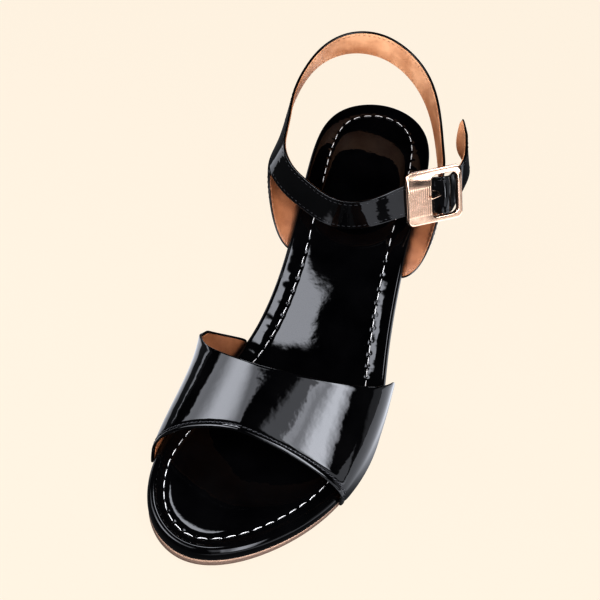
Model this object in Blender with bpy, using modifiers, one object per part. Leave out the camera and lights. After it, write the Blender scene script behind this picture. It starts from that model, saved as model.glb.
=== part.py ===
"""Heeled sandal, left shoe: open-toe band, ankle strap with a buckle, padded footbed and block heel.

The toe points to -Y, the wearer's left is +X and the floor is z = 0. A station is the distance
forward from the back of the heel. Medial is the big-toe side (-X), lateral the little-toe side (+X).
"""
import math

import bmesh
import bpy
import numpy as np
from mathutils import Matrix, Vector

# Last and sole, in metres
LENGTH = 0.238            # outline, back of heel to toe
BALL_WIDTH = 0.0800
HEEL_RISE = 0.0439        # floor to the sole's underside at the heel breast
BREAST_STATION = 0.058    # where the seat ends and the arch begins
SEAT_SLOPE = 0.186        # rise of the seat towards the back, per unit length
BALL_STATION = 0.1515     # where the arch reaches the floor
ARCH_FULLNESS = 2.65      # steepness of the arch where it leaves the seat
SPRING_STATION = 0.1835   # where the toe leaves the floor
TOE_SPRING = 0.0034
TOE_TURN = -0.0173        # sideways swing of the centre line at the toe
TURN_STATION = 0.120      # where that swing begins
OUTSOLE_WALL = 0.0030
FOOTBED_WALL = 0.0058
FOOTBED_INSET = 0.0005    # footbed edge inside the outsole edge
UPPER_WALL = 0.0015
GAP = 0.0003              # between pieces that touch

# Reach of the outline from the centre line as a share of the ball width, at equal turns round it
OUTLINE_COLUMNS = ("turn", "medial", "lateral")
OUTLINE = (
    (0.0, 0.718, 0.718),      # back of the heel
    (22.5, 0.677, 0.640),
    (45.0, 0.492, 0.494),     # heel
    (67.5, 0.337, 0.394),     # waist
    (90.0, 0.339, 0.422),
    (112.5, 0.522, 0.545),
    (135.0, 0.652, 0.611),    # ball
    (157.5, 0.675, 0.618),
    (180.0, 0.627, 0.627),    # toe
)

# Heel block and top piece: D outlines with a straight breast
HEEL_COLUMNS = ("back", "breast", "half_width", "breast_half_width", "shift")
HEEL_SEAT = (0.0018, 0.0567, 0.0244, 0.0223, 0.0)
HEEL_FOOT = (0.0138, 0.0514, 0.0179, 0.0157, 0.0008)
TOP_PIECE_THICKNESS = 0.0042
BLOCK_LEVELS = 6

# Band over the toes: sections of the last at its back and front, blended between
LAST_COLUMNS = ("station", "widest_height", "medial_bulge", "medial_roundness", "lateral_roundness")
LAST_BACK = (0.150, 0.0180, 0.0080, 1.56, 3.05)
LAST_FRONT = (0.200, 0.0, 0.0004, 1.55, 1.26)
MEDIAL_BULGE_FADE = 3.45  # power of the medial bulge's fade towards the front
LATERAL_BULGE = 0.0006
CREST_STATION = 0.170
CREST_HEIGHT = 0.0482     # floor to the band's top at the crest station
CREST_FALL = 0.562        # fall of the crest line per unit length forward
CREST_SHIFT = -0.0135     # crest line's place beside the shoe's axis
HEM_TURN = 120.0          # degrees from the crest down to the hem
BAND_HEM_OUT = 0.0014     # hem outside the outsole edge
BAND_RIM_COLUMNS = ("crest_station", "medial_hem", "lateral_hem", "sweep")
BAND_BACK_RIM = (0.1708, 0.1232, 0.1286, 1.97)
BAND_FRONT_RIM = (0.1949, 0.2032, 0.1961, 3.26)

# Ankle strap, outer face along its middle, from the end at the buckle bar round the heel to the front.
# Lean is how far the lower edge stands out from under the upper edge, in degrees.
STRAP_WIDTH = 0.014
STRAP_COLUMNS = ("x", "y", "z", "lean")
ANKLE_STRAP = (
    (0.0367, -0.0580, 0.0706, 7.0),     # lateral side
    (0.0342, -0.0474, 0.0715, 5.0),
    (0.0267, -0.0304, 0.0817, 3.0),
    (0.0158, -0.0150, 0.0897, 4.0),
    (-0.0030, -0.0046, 0.0957, 11.0),   # behind the heel
    (-0.0148, -0.0042, 0.0966, 14.0),
    (-0.0261, -0.0084, 0.0952, 15.5),
    (-0.0351, -0.0163, 0.0906, 15.0),
    (-0.0401, -0.0266, 0.0836, 11.0),
    (-0.0419, -0.0374, 0.0758, 8.0),    # medial side
    (-0.0414, -0.0474, 0.0697, 13.5),
    (-0.0409, -0.0575, 0.0670, 22.0),
    (-0.0384, -0.0679, 0.0663, 25.0),
    (-0.0309, -0.0755, 0.0628, 17.5),
    (-0.0216, -0.0800, 0.0602, 13.0),
    (-0.0032, -0.0877, 0.0605, 10.0),   # across the instep
    (0.0120, -0.0845, 0.0645, 15.0),
)
# The same strap through the buckle, measured from the frame's centre: along it, up it and out of it
BUCKLE_RUN_COLUMNS = ("along", "up", "out")
BUCKLE_RUN = (
    (-0.0124, -0.0004, -0.0017),        # under the plate
    (-0.0068, -0.0003, -0.0016),
    (-0.0018, -0.0003, -0.0017),
    (0.0014, -0.0002, 0.0),
    (0.0044, -0.0001, 0.0021),          # over the bar
    (0.0075, 0.0001, 0.0004),
    (0.0102, 0.0008, -0.0021),          # under the far side
)
STRAP_TAIL = (
    (0.0446, -0.0590, 0.0745, 12.0),     # free end, turning up
    (0.0435, -0.0459, 0.0797, 10.0),
    (0.0406, -0.0411, 0.0806, -9.5),
    (0.0379, -0.0357, 0.0881, -18.0),   # tip
)
TAIL_POINT_LENGTH = 0.0150
TAIL_TIP_WIDTH = 0.0012
STRAP_STEPS = 5           # mesh steps between two rows

# Quarters, from the hem at the footbed up to the strap. The runs are how far each end goes straight.
QUARTER_COLUMNS = ("hem_back", "hem_front", "strap_back", "strap_front", "hem_run", "strap_run")
MEDIAL_QUARTER = (0.056, 0.0850, -0.0430, -0.0680, 0.0115, 0.0110)
LATERAL_QUARTER = (0.054, 0.0850, -0.0440, -0.0600, 0.0125, 0.0150)
HEM_RISE = 20.0           # degrees the quarter leaves the hem at
HEM_OUT = 0.0004          # hem outside the outsole edge
QUARTER_STEPS = 7

# Buckle
BUCKLE_CENTRE = (0.0347, -0.0718, 0.0710)
BUCKLE_HEADING = 33.7     # degrees from +X towards +Y along the frame
BUCKLE_LEAN = 21.8
BUCKLE_TURN = 3.9         # in its own plane, far end up
BUCKLE_LENGTH = 0.0266
BUCKLE_HEIGHT = 0.0248
BUCKLE_THICKNESS = 0.0023
BUCKLE_CORNER = 0.0030
OPENING_START = -0.0012   # the plate's edge, from the frame's centre
OPENING_END = 0.0107
OPENING_HEIGHT = 0.0190
OPENING_CORNER = 0.0021
BAR_RADIUS = 0.0009
BAR_ALONG = 0.0043
BAR_OUT = -0.0019
LUG_LENGTH = 0.0034
LUG_HEIGHT = 0.0016
LUG_DEPTH = 0.0022
LUG_CLEARANCE = 0.0002    # from the opening's edge
FOLD_RADIUS = 0.0021      # strap end folded round the bar
FOLD_WIDTH = 0.0130
PRONG_RADIUS = 0.0006
PRONG_RISE = 20.5         # degrees
PRONG_TIP_ALONG = -0.0028
PRONG_SLOT = 0.0022
SLOT_CLEARANCE = 0.0009   # slot deeper than the fold
PRONG_HOLE_RADIUS = 0.0010

# Where the middle of the whole box lies in the plan, so that the origin is at its foot
ORIGIN_X = 0.00057
ORIGIN_Y = -0.11901

SOLE_STEPS_ALONG = 44
SOLE_STEPS_ACROSS = 6
END_TURN = 3.0            # degrees of the outline left to the short end edges


def row(columns, values):
    return dict(zip(columns, values))


def smooth_step(t):
    return t * t * (3.0 - 2.0 * t)


def clamp(value, low, high):
    return max(low, min(high, value))


def natural_spline(knots, values, at):
    """Natural cubic spline through rows of values."""
    knots, values, at = np.asarray(knots, float), np.asarray(values, float), np.asarray(at, float)
    step = np.diff(knots)
    slope = np.diff(values, axis=0) / step[:, None]
    count = len(knots)
    system = np.eye(count)
    right = np.zeros_like(values)
    for i in range(1, count - 1):
        system[i, i - 1:i + 2] = step[i - 1], 2.0 * (step[i - 1] + step[i]), step[i]
        right[i] = 6.0 * (slope[i] - slope[i - 1])
    bend = np.linalg.solve(system, right)
    i = np.clip(np.searchsorted(knots, at) - 1, 0, count - 2)
    before, after, width = (at - knots[i])[:, None], (knots[i + 1] - at)[:, None], step[i][:, None]
    curve = (bend[i] * after ** 3 + bend[i + 1] * before ** 3) / (6.0 * width)
    return (curve + (values[i] / width - bend[i] * width / 6.0) * after
            + (values[i + 1] / width - bend[i + 1] * width / 6.0) * before)


# ---- the sole's surface -------------------------------------------------------------------------

def sole_height(station):
    """Height of the sole's underside: seat, arch, flat tread and toe spring."""
    seat = HEEL_RISE - SEAT_SLOPE * (station - BREAST_STATION)
    if station < BREAST_STATION:
        return seat
    if station < BALL_STATION:
        run = BALL_STATION - BREAST_STATION
        t = (station - BREAST_STATION) / run
        start = (2.0 * t ** 3 - 3.0 * t ** 2 + 1.0) * HEEL_RISE
        return start - (t ** 3 - 2.0 * t ** 2 + t) * run * SEAT_SLOPE * ARCH_FULLNESS
    spring = clamp((station - SPRING_STATION) / (LENGTH - SPRING_STATION), 0.0, 1.2)
    return TOE_SPRING * spring ** 2


def sole_slope(station):
    step = 0.0002
    return (sole_height(station + step) - sole_height(station - step)) / (2.0 * step)


def sole_point(station, x, lift):
    """Point at a lift above the sole's underside, measured square to it."""
    slope = sole_slope(station)
    size = math.hypot(1.0, slope)
    return Vector((x, -station + lift * slope / size, sole_height(station) + lift / size))


def outline(station):
    """Medial and lateral x of the outline at a station."""
    turn = math.degrees(math.acos(clamp(1.0 - 2.0 * station / LENGTH, -1.0, 1.0)))
    table = np.array(OUTLINE)
    medial, lateral = natural_spline(table[:, 0], table[:, 1:], [turn])[0] * BALL_WIDTH
    swing = clamp((station - TURN_STATION) / (LENGTH - TURN_STATION), 0.0, 1.0)
    centre = TOE_TURN * swing ** 2
    width = math.sin(math.radians(turn))
    return centre - medial * width, centre + lateral * width


# ---- objects ------------------------------------------------------------------------------------

def material(name, colour, roughness, metallic=0.0):
    made = bpy.data.materials.get(name)
    if made is None:
        made = bpy.data.materials.new(name)
        made.use_nodes = True
        shader = made.node_tree.nodes["Principled BSDF"]
        shader.inputs["Base Color"].default_value = (*colour, 1.0)
        shader.inputs["Roughness"].default_value = roughness
        shader.inputs["Metallic"].default_value = metallic
    return made


def black_patent():
    return material("black patent", (0.006, 0.006, 0.007), 0.08)


def beige_sheet():
    return material("beige sole sheet", (0.60, 0.38, 0.24), 0.55)


def tan_rubber():
    return material("tan rubber", (0.72, 0.30, 0.07), 0.6)


def rose_gold():
    return material("rose gold plate", (0.85, 0.60, 0.45), 0.22, 1.0)


def place(obj, collection, parent, surface=None):
    collection.objects.link(obj)
    obj.parent = parent
    if surface is not None:
        obj.data.materials.append(surface)
    return obj


def mesh_object(name, vertices, faces):
    mesh = bpy.data.meshes.new(name)
    mesh.from_pydata([tuple(v) for v in vertices], [], faces)
    mesh.update()
    return bpy.data.objects.new(name, mesh)


def shade(obj, angle=35.0):
    obj.data.shade_smooth()
    obj.data.set_sharp_from_angle(angle=math.radians(angle))


def grid_faces(rows, columns, first=0):
    """Quads of a grid of points stored row after row."""
    faces = []
    for i in range(rows - 1):
        for j in range(columns - 1):
            corner = first + i * columns + j
            faces.append((corner, corner + columns, corner + columns + 1, corner + 1))
    return faces


def solidify(obj, thickness, offset):
    made = obj.modifiers.new("wall", "SOLIDIFY")
    made.thickness = thickness
    made.offset = offset
    made.use_even_offset = True


def bevel(obj, width, segments, angle=40.0):
    made = obj.modifiers.new("rounded edges", "BEVEL")
    made.width = width
    made.segments = segments
    made.limit_method = "ANGLE"
    made.angle_limit = math.radians(angle)


def boolean(obj, other, operation):
    made = obj.modifiers.new(other.name, "BOOLEAN")
    made.operation = operation
    made.solver = "EXACT"
    made.object = other


def sole_sheet(name, inset, lift):
    """Open sheet over the whole outline at one lift above the sole's underside."""
    points = []
    for i in range(SOLE_STEPS_ALONG + 1):
        turn = END_TURN + (180.0 - 2.0 * END_TURN) * i / SOLE_STEPS_ALONG
        station = LENGTH / 2.0 * (1.0 - math.cos(math.radians(turn)))
        inner = inset + station * (1.0 - 2.0 * inset / LENGTH)
        medial, lateral = outline(station)
        for j in range(SOLE_STEPS_ACROSS + 1):
            t = j / SOLE_STEPS_ACROSS
            x = medial + inset + (lateral - medial - 2.0 * inset) * t
            points.append(sole_point(inner, x, lift))
    return mesh_object(name, points, grid_faces(SOLE_STEPS_ALONG + 1, SOLE_STEPS_ACROSS + 1))


def make_outsole(parts, root):
    sole = place(sole_sheet("outsole", 0.0, 0.0), parts, root, beige_sheet())
    solidify(sole, OUTSOLE_WALL, 1.0)
    bevel(sole, 0.0005, 1)
    shade(sole)


def make_footbed(parts, root):
    lift = OUTSOLE_WALL + GAP
    bed = place(sole_sheet("footbed", FOOTBED_INSET, lift), parts, root, black_patent())
    solidify(bed, FOOTBED_WALL, 1.0)
    bevel(bed, 0.0018, 3)
    shade(bed)


# ---- heel ---------------------------------------------------------------------------------------

def heel_outline(size, steps=14, corner=0.0022, roundness=2.3):
    """D outline as (x, station) pairs: a superellipse at the back and a straight breast."""
    points = []
    widest = size["back"] + (size["breast"] - size["back"]) * 0.62
    breast = size["breast"]
    for k in range(steps + 1):
        turn = math.radians(-90.0 + 180.0 * k / steps)
        side = math.copysign(abs(math.sin(turn)) ** (2.0 / roundness), math.sin(turn))
        back = abs(math.cos(turn)) ** (2.0 / roundness)
        points.append((size["shift"] + size["half_width"] * side, widest - (widest - size["back"]) * back))
    for side in (1.0, -1.0):
        edge = size["shift"] + side * size["breast_half_width"]
        rounding = []
        for k in range(4):
            turn = math.radians(30.0 * k)
            x = edge - side * corner * (1.0 - math.cos(turn))
            rounding.append((x, breast - corner * (1.0 - math.sin(turn))))
        points += rounding if side > 0.0 else rounding[::-1]
    return points


def loft(name, rings):
    """Closed solid through rings with equal counts of points, with flat ends."""
    count = len(rings[0])
    faces = [tuple(range(count))[::-1], tuple((len(rings) - 1) * count + k for k in range(count))]
    for i in range(len(rings) - 1):
        for k in range(count):
            after = (k + 1) % count
            faces.append((i * count + k, i * count + after, (i + 1) * count + after, (i + 1) * count + k))
    obj = mesh_object(name, [p for ring in rings for p in ring], faces)
    shape = bmesh.new()
    shape.from_mesh(obj.data)
    bmesh.ops.recalc_face_normals(shape, faces=shape.faces)
    shape.to_mesh(obj.data)
    shape.free()
    return obj


def make_heel(parts, root):
    seat, foot = row(HEEL_COLUMNS, HEEL_SEAT), row(HEEL_COLUMNS, HEEL_FOOT)
    bottom = TOP_PIECE_THICKNESS + GAP
    rings = []
    for i in range(BLOCK_LEVELS + 1):
        t = i / BLOCK_LEVELS
        size = {key: foot[key] + (seat[key] - foot[key]) * t for key in foot}
        ring = []
        for x, station in heel_outline(size):
            top = sole_height(station) - GAP
            ring.append((x, -station, bottom + (top - bottom) * t))
        rings.append(ring)
    block = place(loft("heel_block", rings), parts, root, black_patent())
    shade(block)

    flat = heel_outline(foot)
    rings = [[(x, -station, z) for x, station in flat] for z in (0.0, TOP_PIECE_THICKNESS)]
    piece = place(loft("top_piece", rings), parts, root, tan_rubber())
    bevel(piece, 0.0004, 1, 60.0)
    shade(piece)


# ---- band over the toes -------------------------------------------------------------------------

def last_point(station, turn):
    """Outer face of the band: turn 0 at the crest, -1 at the medial hem, 1 at the lateral hem."""
    back, front = row(LAST_COLUMNS, LAST_BACK), row(LAST_COLUMNS, LAST_FRONT)
    t = clamp((station - back["station"]) / (front["station"] - back["station"]), 0.0, 1.0)
    medial, lateral = outline(station)
    side = -1.0 if turn < 0.0 else 1.0
    hem_x = (medial if side < 0.0 else lateral) + side * BAND_HEM_OUT
    if side < 0.0:
        bulge = back["medial_bulge"] * (1.0 - t) ** MEDIAL_BULGE_FADE + front["medial_bulge"] * t
    else:
        bulge = LATERAL_BULGE * (1.0 - t)
    widest_x = hem_x + side * bulge
    key = "medial_roundness" if side < 0.0 else "lateral_roundness"
    power = 2.0 / (back[key] + (front[key] - back[key]) * t)
    footbed_top = sole_height(station) + OUTSOLE_WALL + GAP + FOOTBED_WALL
    widest_z = footbed_top + back["widest_height"] + (front["widest_height"] - back["widest_height"]) * t
    crest_z = CREST_HEIGHT - CREST_FALL * (station - CREST_STATION)
    angle = abs(turn) * HEM_TURN
    if angle <= 90.0:
        out = math.sin(math.radians(angle)) ** power
        rise = max(math.cos(math.radians(angle)), 0.0) ** power
        x = CREST_SHIFT + (widest_x - CREST_SHIFT) * out
        return Vector((x, -station, widest_z + (crest_z - widest_z) * rise))
    drop = (angle - 90.0) / (HEM_TURN - 90.0)
    hem = sole_point(station, hem_x, OUTSOLE_WALL + GAP)
    x = widest_x + (hem_x - widest_x) * smooth_step(drop)
    return Vector((x, -station + (hem.y + station) * drop, widest_z + (hem.z - widest_z) * drop))


def rim_station(rim, turn):
    hem = rim["medial_hem"] if turn < 0.0 else rim["lateral_hem"]
    return rim["crest_station"] + (hem - rim["crest_station"]) * abs(turn) ** rim["sweep"]


def make_band(parts, root):
    back, front = row(BAND_RIM_COLUMNS, BAND_BACK_RIM), row(BAND_RIM_COLUMNS, BAND_FRONT_RIM)
    across, along = 44, 11
    points = []
    for i in range(across + 1):
        turn = -1.0 + 2.0 * i / across
        start, end = rim_station(back, turn), rim_station(front, turn)
        for j in range(along + 1):
            points.append(last_point(start + (end - start) * j / along, turn))
    sheet = mesh_object("vamp_band", points, grid_faces(across + 1, along + 1))
    band = place(sheet, parts, root, black_patent())
    band.data.flip_normals()
    solidify(band, UPPER_WALL, -1.0)
    shade(band)


# ---- buckle -------------------------------------------------------------------------------------

def buckle_frame():
    """Axes along the frame, up it and out of it, as a matrix."""
    heading, lean = math.radians(BUCKLE_HEADING), math.radians(BUCKLE_LEAN)
    along = Vector((math.cos(heading), math.sin(heading), 0.0))
    level = Vector((math.sin(heading), -math.cos(heading), 0.0))
    up = Vector((0.0, 0.0, math.cos(lean))) - level * math.sin(lean)
    out = along.cross(up)
    axes = Matrix((along, up, out)).transposed().to_4x4()
    return Matrix.Translation(BUCKLE_CENTRE) @ axes @ Matrix.Rotation(math.radians(BUCKLE_TURN), 4, "Z")


def rounded_rectangle(curve, start, end, height, corner):
    points = []
    left, right, top = start + corner, end - corner, height / 2.0 - corner
    centres = ((right, top, 0.0), (left, top, 90.0), (left, -top, 180.0), (right, -top, 270.0))
    for centre_x, centre_y, first in centres:
        for k in range(5):
            turn = math.radians(first + 22.5 * k)
            points.append((centre_x + corner * math.cos(turn), centre_y + corner * math.sin(turn)))
    spline = curve.splines.new("POLY")
    spline.points.add(len(points) - 1)
    for point, (x, y) in zip(spline.points, points):
        point.co = (x, y, 0.0, 1.0)
    spline.use_cyclic_u = True


def curve_to_mesh(obj, name):
    """Mesh copy of a curve with its caps joined to its sides."""
    bpy.context.view_layer.update()
    graph = bpy.context.evaluated_depsgraph_get()
    mesh = bpy.data.meshes.new_from_object(obj.evaluated_get(graph))
    shape = bmesh.new()
    shape.from_mesh(mesh)
    bmesh.ops.remove_doubles(shape, verts=shape.verts, dist=0.00001)
    bmesh.ops.recalc_face_normals(shape, faces=shape.faces)
    shape.to_mesh(mesh)
    shape.free()
    mesh.name = name
    made = bpy.data.objects.new(name, mesh)
    made.matrix_world = obj.matrix_world
    bpy.data.objects.remove(obj)
    return made


def round_bar(name, start, end, radius, segments=16):
    """Closed cylinder between two points."""
    shape = bmesh.new()
    axis = end - start
    turn = axis.to_track_quat("Z", "Y").to_matrix().to_4x4()
    matrix = Matrix.Translation((start + end) / 2.0) @ turn
    bmesh.ops.create_cone(shape, cap_ends=True, segments=segments, radius1=radius, radius2=radius,
                          depth=axis.length, matrix=matrix)
    mesh = bpy.data.meshes.new(name)
    shape.to_mesh(mesh)
    shape.free()
    return bpy.data.objects.new(name, mesh)


def block(name, centre, size):
    shape = bmesh.new()
    bmesh.ops.create_cube(shape, size=1.0, matrix=Matrix.Translation(centre) @ Matrix.Diagonal((*size, 1.0)))
    mesh = bpy.data.meshes.new(name)
    shape.to_mesh(mesh)
    shape.free()
    return bpy.data.objects.new(name, mesh)


def tool(obj, cutters, parent):
    """A shape that only cuts or joins others."""
    cutters.objects.link(obj)
    obj.parent = parent
    obj.hide_render = True
    obj.display_type = "WIRE"
    return obj


def make_buckle(parts, cutters, axes):
    gold = rose_gold()
    flat = bpy.data.curves.new("buckle outline", "CURVE")
    flat.dimensions = "2D"
    flat.fill_mode = "BOTH"
    flat.extrude = BUCKLE_THICKNESS / 2.0
    rounded_rectangle(flat, -BUCKLE_LENGTH / 2.0, BUCKLE_LENGTH / 2.0, BUCKLE_HEIGHT, BUCKLE_CORNER)
    rounded_rectangle(flat, OPENING_START, OPENING_END, OPENING_HEIGHT, OPENING_CORNER)
    curve = bpy.data.objects.new("buckle outline", flat)
    bpy.context.scene.collection.objects.link(curve)
    frame = place(curve_to_mesh(curve, "buckle_frame"), parts, axes, gold)
    arm = OPENING_HEIGHT / 2.0 + LUG_CLEARANCE + LUG_HEIGHT / 2.0
    for side, name in ((1.0, "upper lug"), (-1.0, "lower lug")):
        centre = (BAR_ALONG, side * arm, BAR_OUT + 0.0002)
        boolean(frame, tool(block(name, centre, (LUG_LENGTH, LUG_HEIGHT, LUG_DEPTH)), cutters, axes), "UNION")
    top = Vector((BAR_ALONG, arm, BAR_OUT))
    foot = Vector((BAR_ALONG, -arm, BAR_OUT))
    boolean(frame, tool(round_bar("centre bar", foot, top, BAR_RADIUS), cutters, axes), "UNION")
    shade(frame, 30.0)


def prong_path():
    """Hook round the bar, then a straight shank that rests on the plate, in the buckle's own plane."""
    radius = BAR_RADIUS + GAP + PRONG_RADIUS
    leave = 90.0 - PRONG_RISE
    points = []
    for k in range(13):
        turn = math.radians(leave - 250.0 + 250.0 * k / 12)
        points.append(Vector((BAR_ALONG + radius * math.cos(turn), 0.0, BAR_OUT + radius * math.sin(turn))))
    run = points[-1].x - PRONG_TIP_ALONG
    points.append(Vector((PRONG_TIP_ALONG, 0.0, points[-1].z + run * math.tan(math.radians(PRONG_RISE)))))
    return points


def make_prong(parts, axes):
    path = prong_path()
    wire = bpy.data.curves.new("prong", "CURVE")
    wire.dimensions = "3D"
    wire.bevel_depth = PRONG_RADIUS
    wire.bevel_resolution = 3
    wire.use_fill_caps = True
    spline = wire.splines.new("POLY")
    spline.points.add(len(path) - 1)
    for point, place_at in zip(spline.points, path):
        point.co = (*place_at, 1.0)
    place(bpy.data.objects.new("buckle_prong", wire), parts, axes, rose_gold())


# ---- quarters and ankle strap -------------------------------------------------------------------

def leaning_down(heading, lean):
    """Direction down the strap's width where it runs along a heading and leans out at the foot."""
    outward = Vector((heading.y, -heading.x, 0.0)).normalized()
    return outward * math.sin(math.radians(lean)) - Vector((0.0, 0.0, math.cos(math.radians(lean))))


def strap_rows(axes):
    """Middle of the outer face and direction down the width, from the fold at the bar to the tail's tip."""
    buckle_down = -(axes.to_3x3() @ Vector((0.0, 1.0, 0.0)))
    bar = axes @ Vector((BAR_ALONG, 0.0, BAR_OUT))
    loop = [Vector(values[:3]) for values in ANKLE_STRAP]
    through = [axes @ Vector(values) for values in BUCKLE_RUN]
    tail = [Vector(values[:3]) for values in STRAP_TAIL]
    start = bar + (loop[0] - bar).normalized() * (FOLD_RADIUS - 0.0004)
    middles = [start] + loop + through + tail
    leans = [None] + [values[3] for values in ANKLE_STRAP] + [None] * len(through)
    leans += [values[3] for values in STRAP_TAIL]
    rows = []
    for k, (middle, lean) in enumerate(zip(middles, leans)):
        heading = middles[min(k + 1, len(middles) - 1)] - middles[k - 1]
        down = buckle_down if lean is None else leaning_down(heading, lean)
        rows.append((*middle, *down))
    return np.array(rows)


def strap_stations(axes):
    """Points (middle, direction down the width, half width) along the whole strap."""
    rows = strap_rows(axes)
    reach = np.concatenate(([0.0], np.cumsum(np.linalg.norm(np.diff(rows[:, :3], axis=0), axis=1))))
    places = []
    for i in range(len(rows) - 1):
        places += list(np.linspace(reach[i], reach[i + 1], STRAP_STEPS, endpoint=False))
    places.append(reach[-1])
    stations = []
    for place_at, values in zip(places, natural_spline(reach, rows, places)):
        left = reach[-1] - place_at
        half = STRAP_WIDTH / 2.0
        if left < TAIL_POINT_LENGTH:
            half = max(half * (left / TAIL_POINT_LENGTH) ** 0.6, TAIL_TIP_WIDTH / 2.0)
        stations.append((Vector(values[:3]), Vector(values[3:]).normalized(), half))
    return stations


def quarter_columns(stations, size, side):
    """Indices of the strap stations that the quarter hangs from, ordered from back to front."""
    loop = stations[:STRAP_STEPS * len(ANKLE_STRAP)]
    found = [k for k, (middle, down, half) in enumerate(loop)
             if side * middle.x > 0.02 and size["strap_front"] <= middle.y <= size["strap_back"]]
    return sorted(found, key=lambda k: -stations[k][0].y)


def quarter_curve(size, hem, side, corner, down):
    """Points from the strap's lower edge down and in to the hem."""
    rise = math.radians(HEM_RISE)
    hem_end = hem + Vector((side * math.cos(rise), 0.0, math.sin(rise))) * size["hem_run"]
    strap_end = corner + down * size["strap_run"]
    points = []
    for i in range(1, QUARTER_STEPS + 1):
        t = i / QUARTER_STEPS
        s = 1.0 - t
        near = corner * s ** 3 + strap_end * 3.0 * s * s * t
        points.append(near + hem_end * 3.0 * s * t * t + hem * t ** 3)
    return points


def make_ankle_upper(parts, cutters, root, axes):
    stations = strap_stations(buckle_frame())
    points, faces = [], []
    for middle, down, half in stations:
        points += [middle - down * half, middle, middle + down * half]
    faces += grid_faces(len(stations), 3)
    for values, side in ((MEDIAL_QUARTER, -1.0), (LATERAL_QUARTER, 1.0)):
        size = row(QUARTER_COLUMNS, values)
        columns = quarter_columns(stations, size, side)
        grid = []
        for n, k in enumerate(columns):
            t = n / (len(columns) - 1)
            station = size["hem_back"] + (size["hem_front"] - size["hem_back"]) * t
            edge = outline(station)[0 if side < 0.0 else 1]
            hem = sole_point(station, edge + side * HEM_OUT, OUTSOLE_WALL + GAP)
            middle, down, half = stations[k]
            corner = middle + down * half
            first = len(points)
            points += quarter_curve(size, hem, side, corner, down)
            grid.append([3 * k + 2] + list(range(first, first + QUARTER_STEPS)))
        for one, other in zip(grid, grid[1:]):
            for a, b, c, d in zip(one, one[1:], other[1:], other):
                faces.append((a, b, c, d))
    upper = place(mesh_object("ankle_upper", points, faces), parts, root, black_patent())
    shape = bmesh.new()
    shape.from_mesh(upper.data)
    bmesh.ops.recalc_face_normals(shape, faces=shape.faces)
    shape.faces.ensure_lookup_table()
    back = min(shape.faces, key=lambda face: -face.calc_center_median().y)
    if back.normal.y < 0.0:
        bmesh.ops.reverse_faces(shape, faces=shape.faces)
    shape.to_mesh(upper.data)
    shape.free()
    solidify(upper, UPPER_WALL, -1.0)

    up = Vector((0.0, 1.0, 0.0))
    bar = Vector((BAR_ALONG, 0.0, BAR_OUT))
    fold = round_bar("fold", bar - up * FOLD_WIDTH / 2.0, bar + up * FOLD_WIDTH / 2.0, FOLD_RADIUS, 20)
    bore = round_bar("bore", bar - up * FOLD_WIDTH, bar + up * FOLD_WIDTH, BAR_RADIUS + GAP)
    slot_half = up * PRONG_SLOT / 2.0
    slot = round_bar("prong slot", bar - slot_half, bar + slot_half, FOLD_RADIUS + SLOT_CLEARANCE, 20)
    path = prong_path()
    shank = (path[-1] - path[-2]).normalized()
    hole = round_bar("prong hole", path[-2] + shank * 0.0006, path[-2] + shank * 0.0060, PRONG_HOLE_RADIUS)
    boolean(upper, tool(fold, cutters, axes), "UNION")
    for cutter in (bore, slot, hole):
        boolean(upper, tool(cutter, cutters, axes), "DIFFERENCE")
    shade(upper)


def main():
    for obj in list(bpy.data.objects):
        bpy.data.objects.remove(obj)
    parts = bpy.data.collections.new("heeled sandal")
    cutters = bpy.data.collections.new("cutters")
    for collection in (parts, cutters):
        bpy.context.scene.collection.children.link(collection)
    root = bpy.data.objects.new("sandal origin", None)
    root.location = (-ORIGIN_X, -ORIGIN_Y, 0.0)
    parts.objects.link(root)
    axes = bpy.data.objects.new("buckle axes", None)
    axes.matrix_local = buckle_frame()
    axes.parent = root
    parts.objects.link(axes)
    make_outsole(parts, root)
    make_footbed(parts, root)
    make_heel(parts, root)
    make_band(parts, root)
    make_buckle(parts, cutters, axes)
    make_prong(parts, axes)
    make_ankle_upper(parts, cutters, root, axes)


main()
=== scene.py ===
import math
import random

import bmesh
import bpy
import numpy as np
from mathutils import Matrix, Vector, noise


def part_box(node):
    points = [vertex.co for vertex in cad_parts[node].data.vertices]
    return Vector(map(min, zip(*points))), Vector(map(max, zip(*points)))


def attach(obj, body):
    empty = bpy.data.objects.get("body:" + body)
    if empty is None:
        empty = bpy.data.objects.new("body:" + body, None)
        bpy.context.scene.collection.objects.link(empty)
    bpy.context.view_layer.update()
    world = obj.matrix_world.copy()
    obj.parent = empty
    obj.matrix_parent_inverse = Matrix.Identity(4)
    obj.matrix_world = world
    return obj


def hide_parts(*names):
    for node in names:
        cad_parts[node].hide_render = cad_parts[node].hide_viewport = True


# Heeled sandal, left shoe. Metres; toe to -Y, big-toe side to -X, floor at z = 0.
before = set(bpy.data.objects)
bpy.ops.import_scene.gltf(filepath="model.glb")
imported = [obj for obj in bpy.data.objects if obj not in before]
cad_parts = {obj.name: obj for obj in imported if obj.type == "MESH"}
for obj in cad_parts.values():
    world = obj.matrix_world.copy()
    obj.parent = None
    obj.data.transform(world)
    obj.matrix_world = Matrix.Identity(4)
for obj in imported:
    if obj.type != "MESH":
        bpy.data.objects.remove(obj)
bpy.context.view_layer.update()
random.seed(7)

topLift = {
    "back": 0.0138, "breast": 0.0514, "halfWidth": 0.0179, "breastHalfWidth": 0.0157, "shift": 0.0008,
    "thickness": 0.0042, "edge": 0.0004, "middle": 0.3,
}
# The shoe's own frame starts at the back of the heel on the centre line; the top piece says where that is
liftLow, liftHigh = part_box("top_piece")
shoeOrigin = Vector(((liftLow.x + liftHigh.x) / 2 - topLift["shift"],
                     liftHigh.y + topLift["back"], liftLow.z))
print("frame loaded, shoe origin at", [round(v, 5) for v in shoeOrigin])


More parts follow.
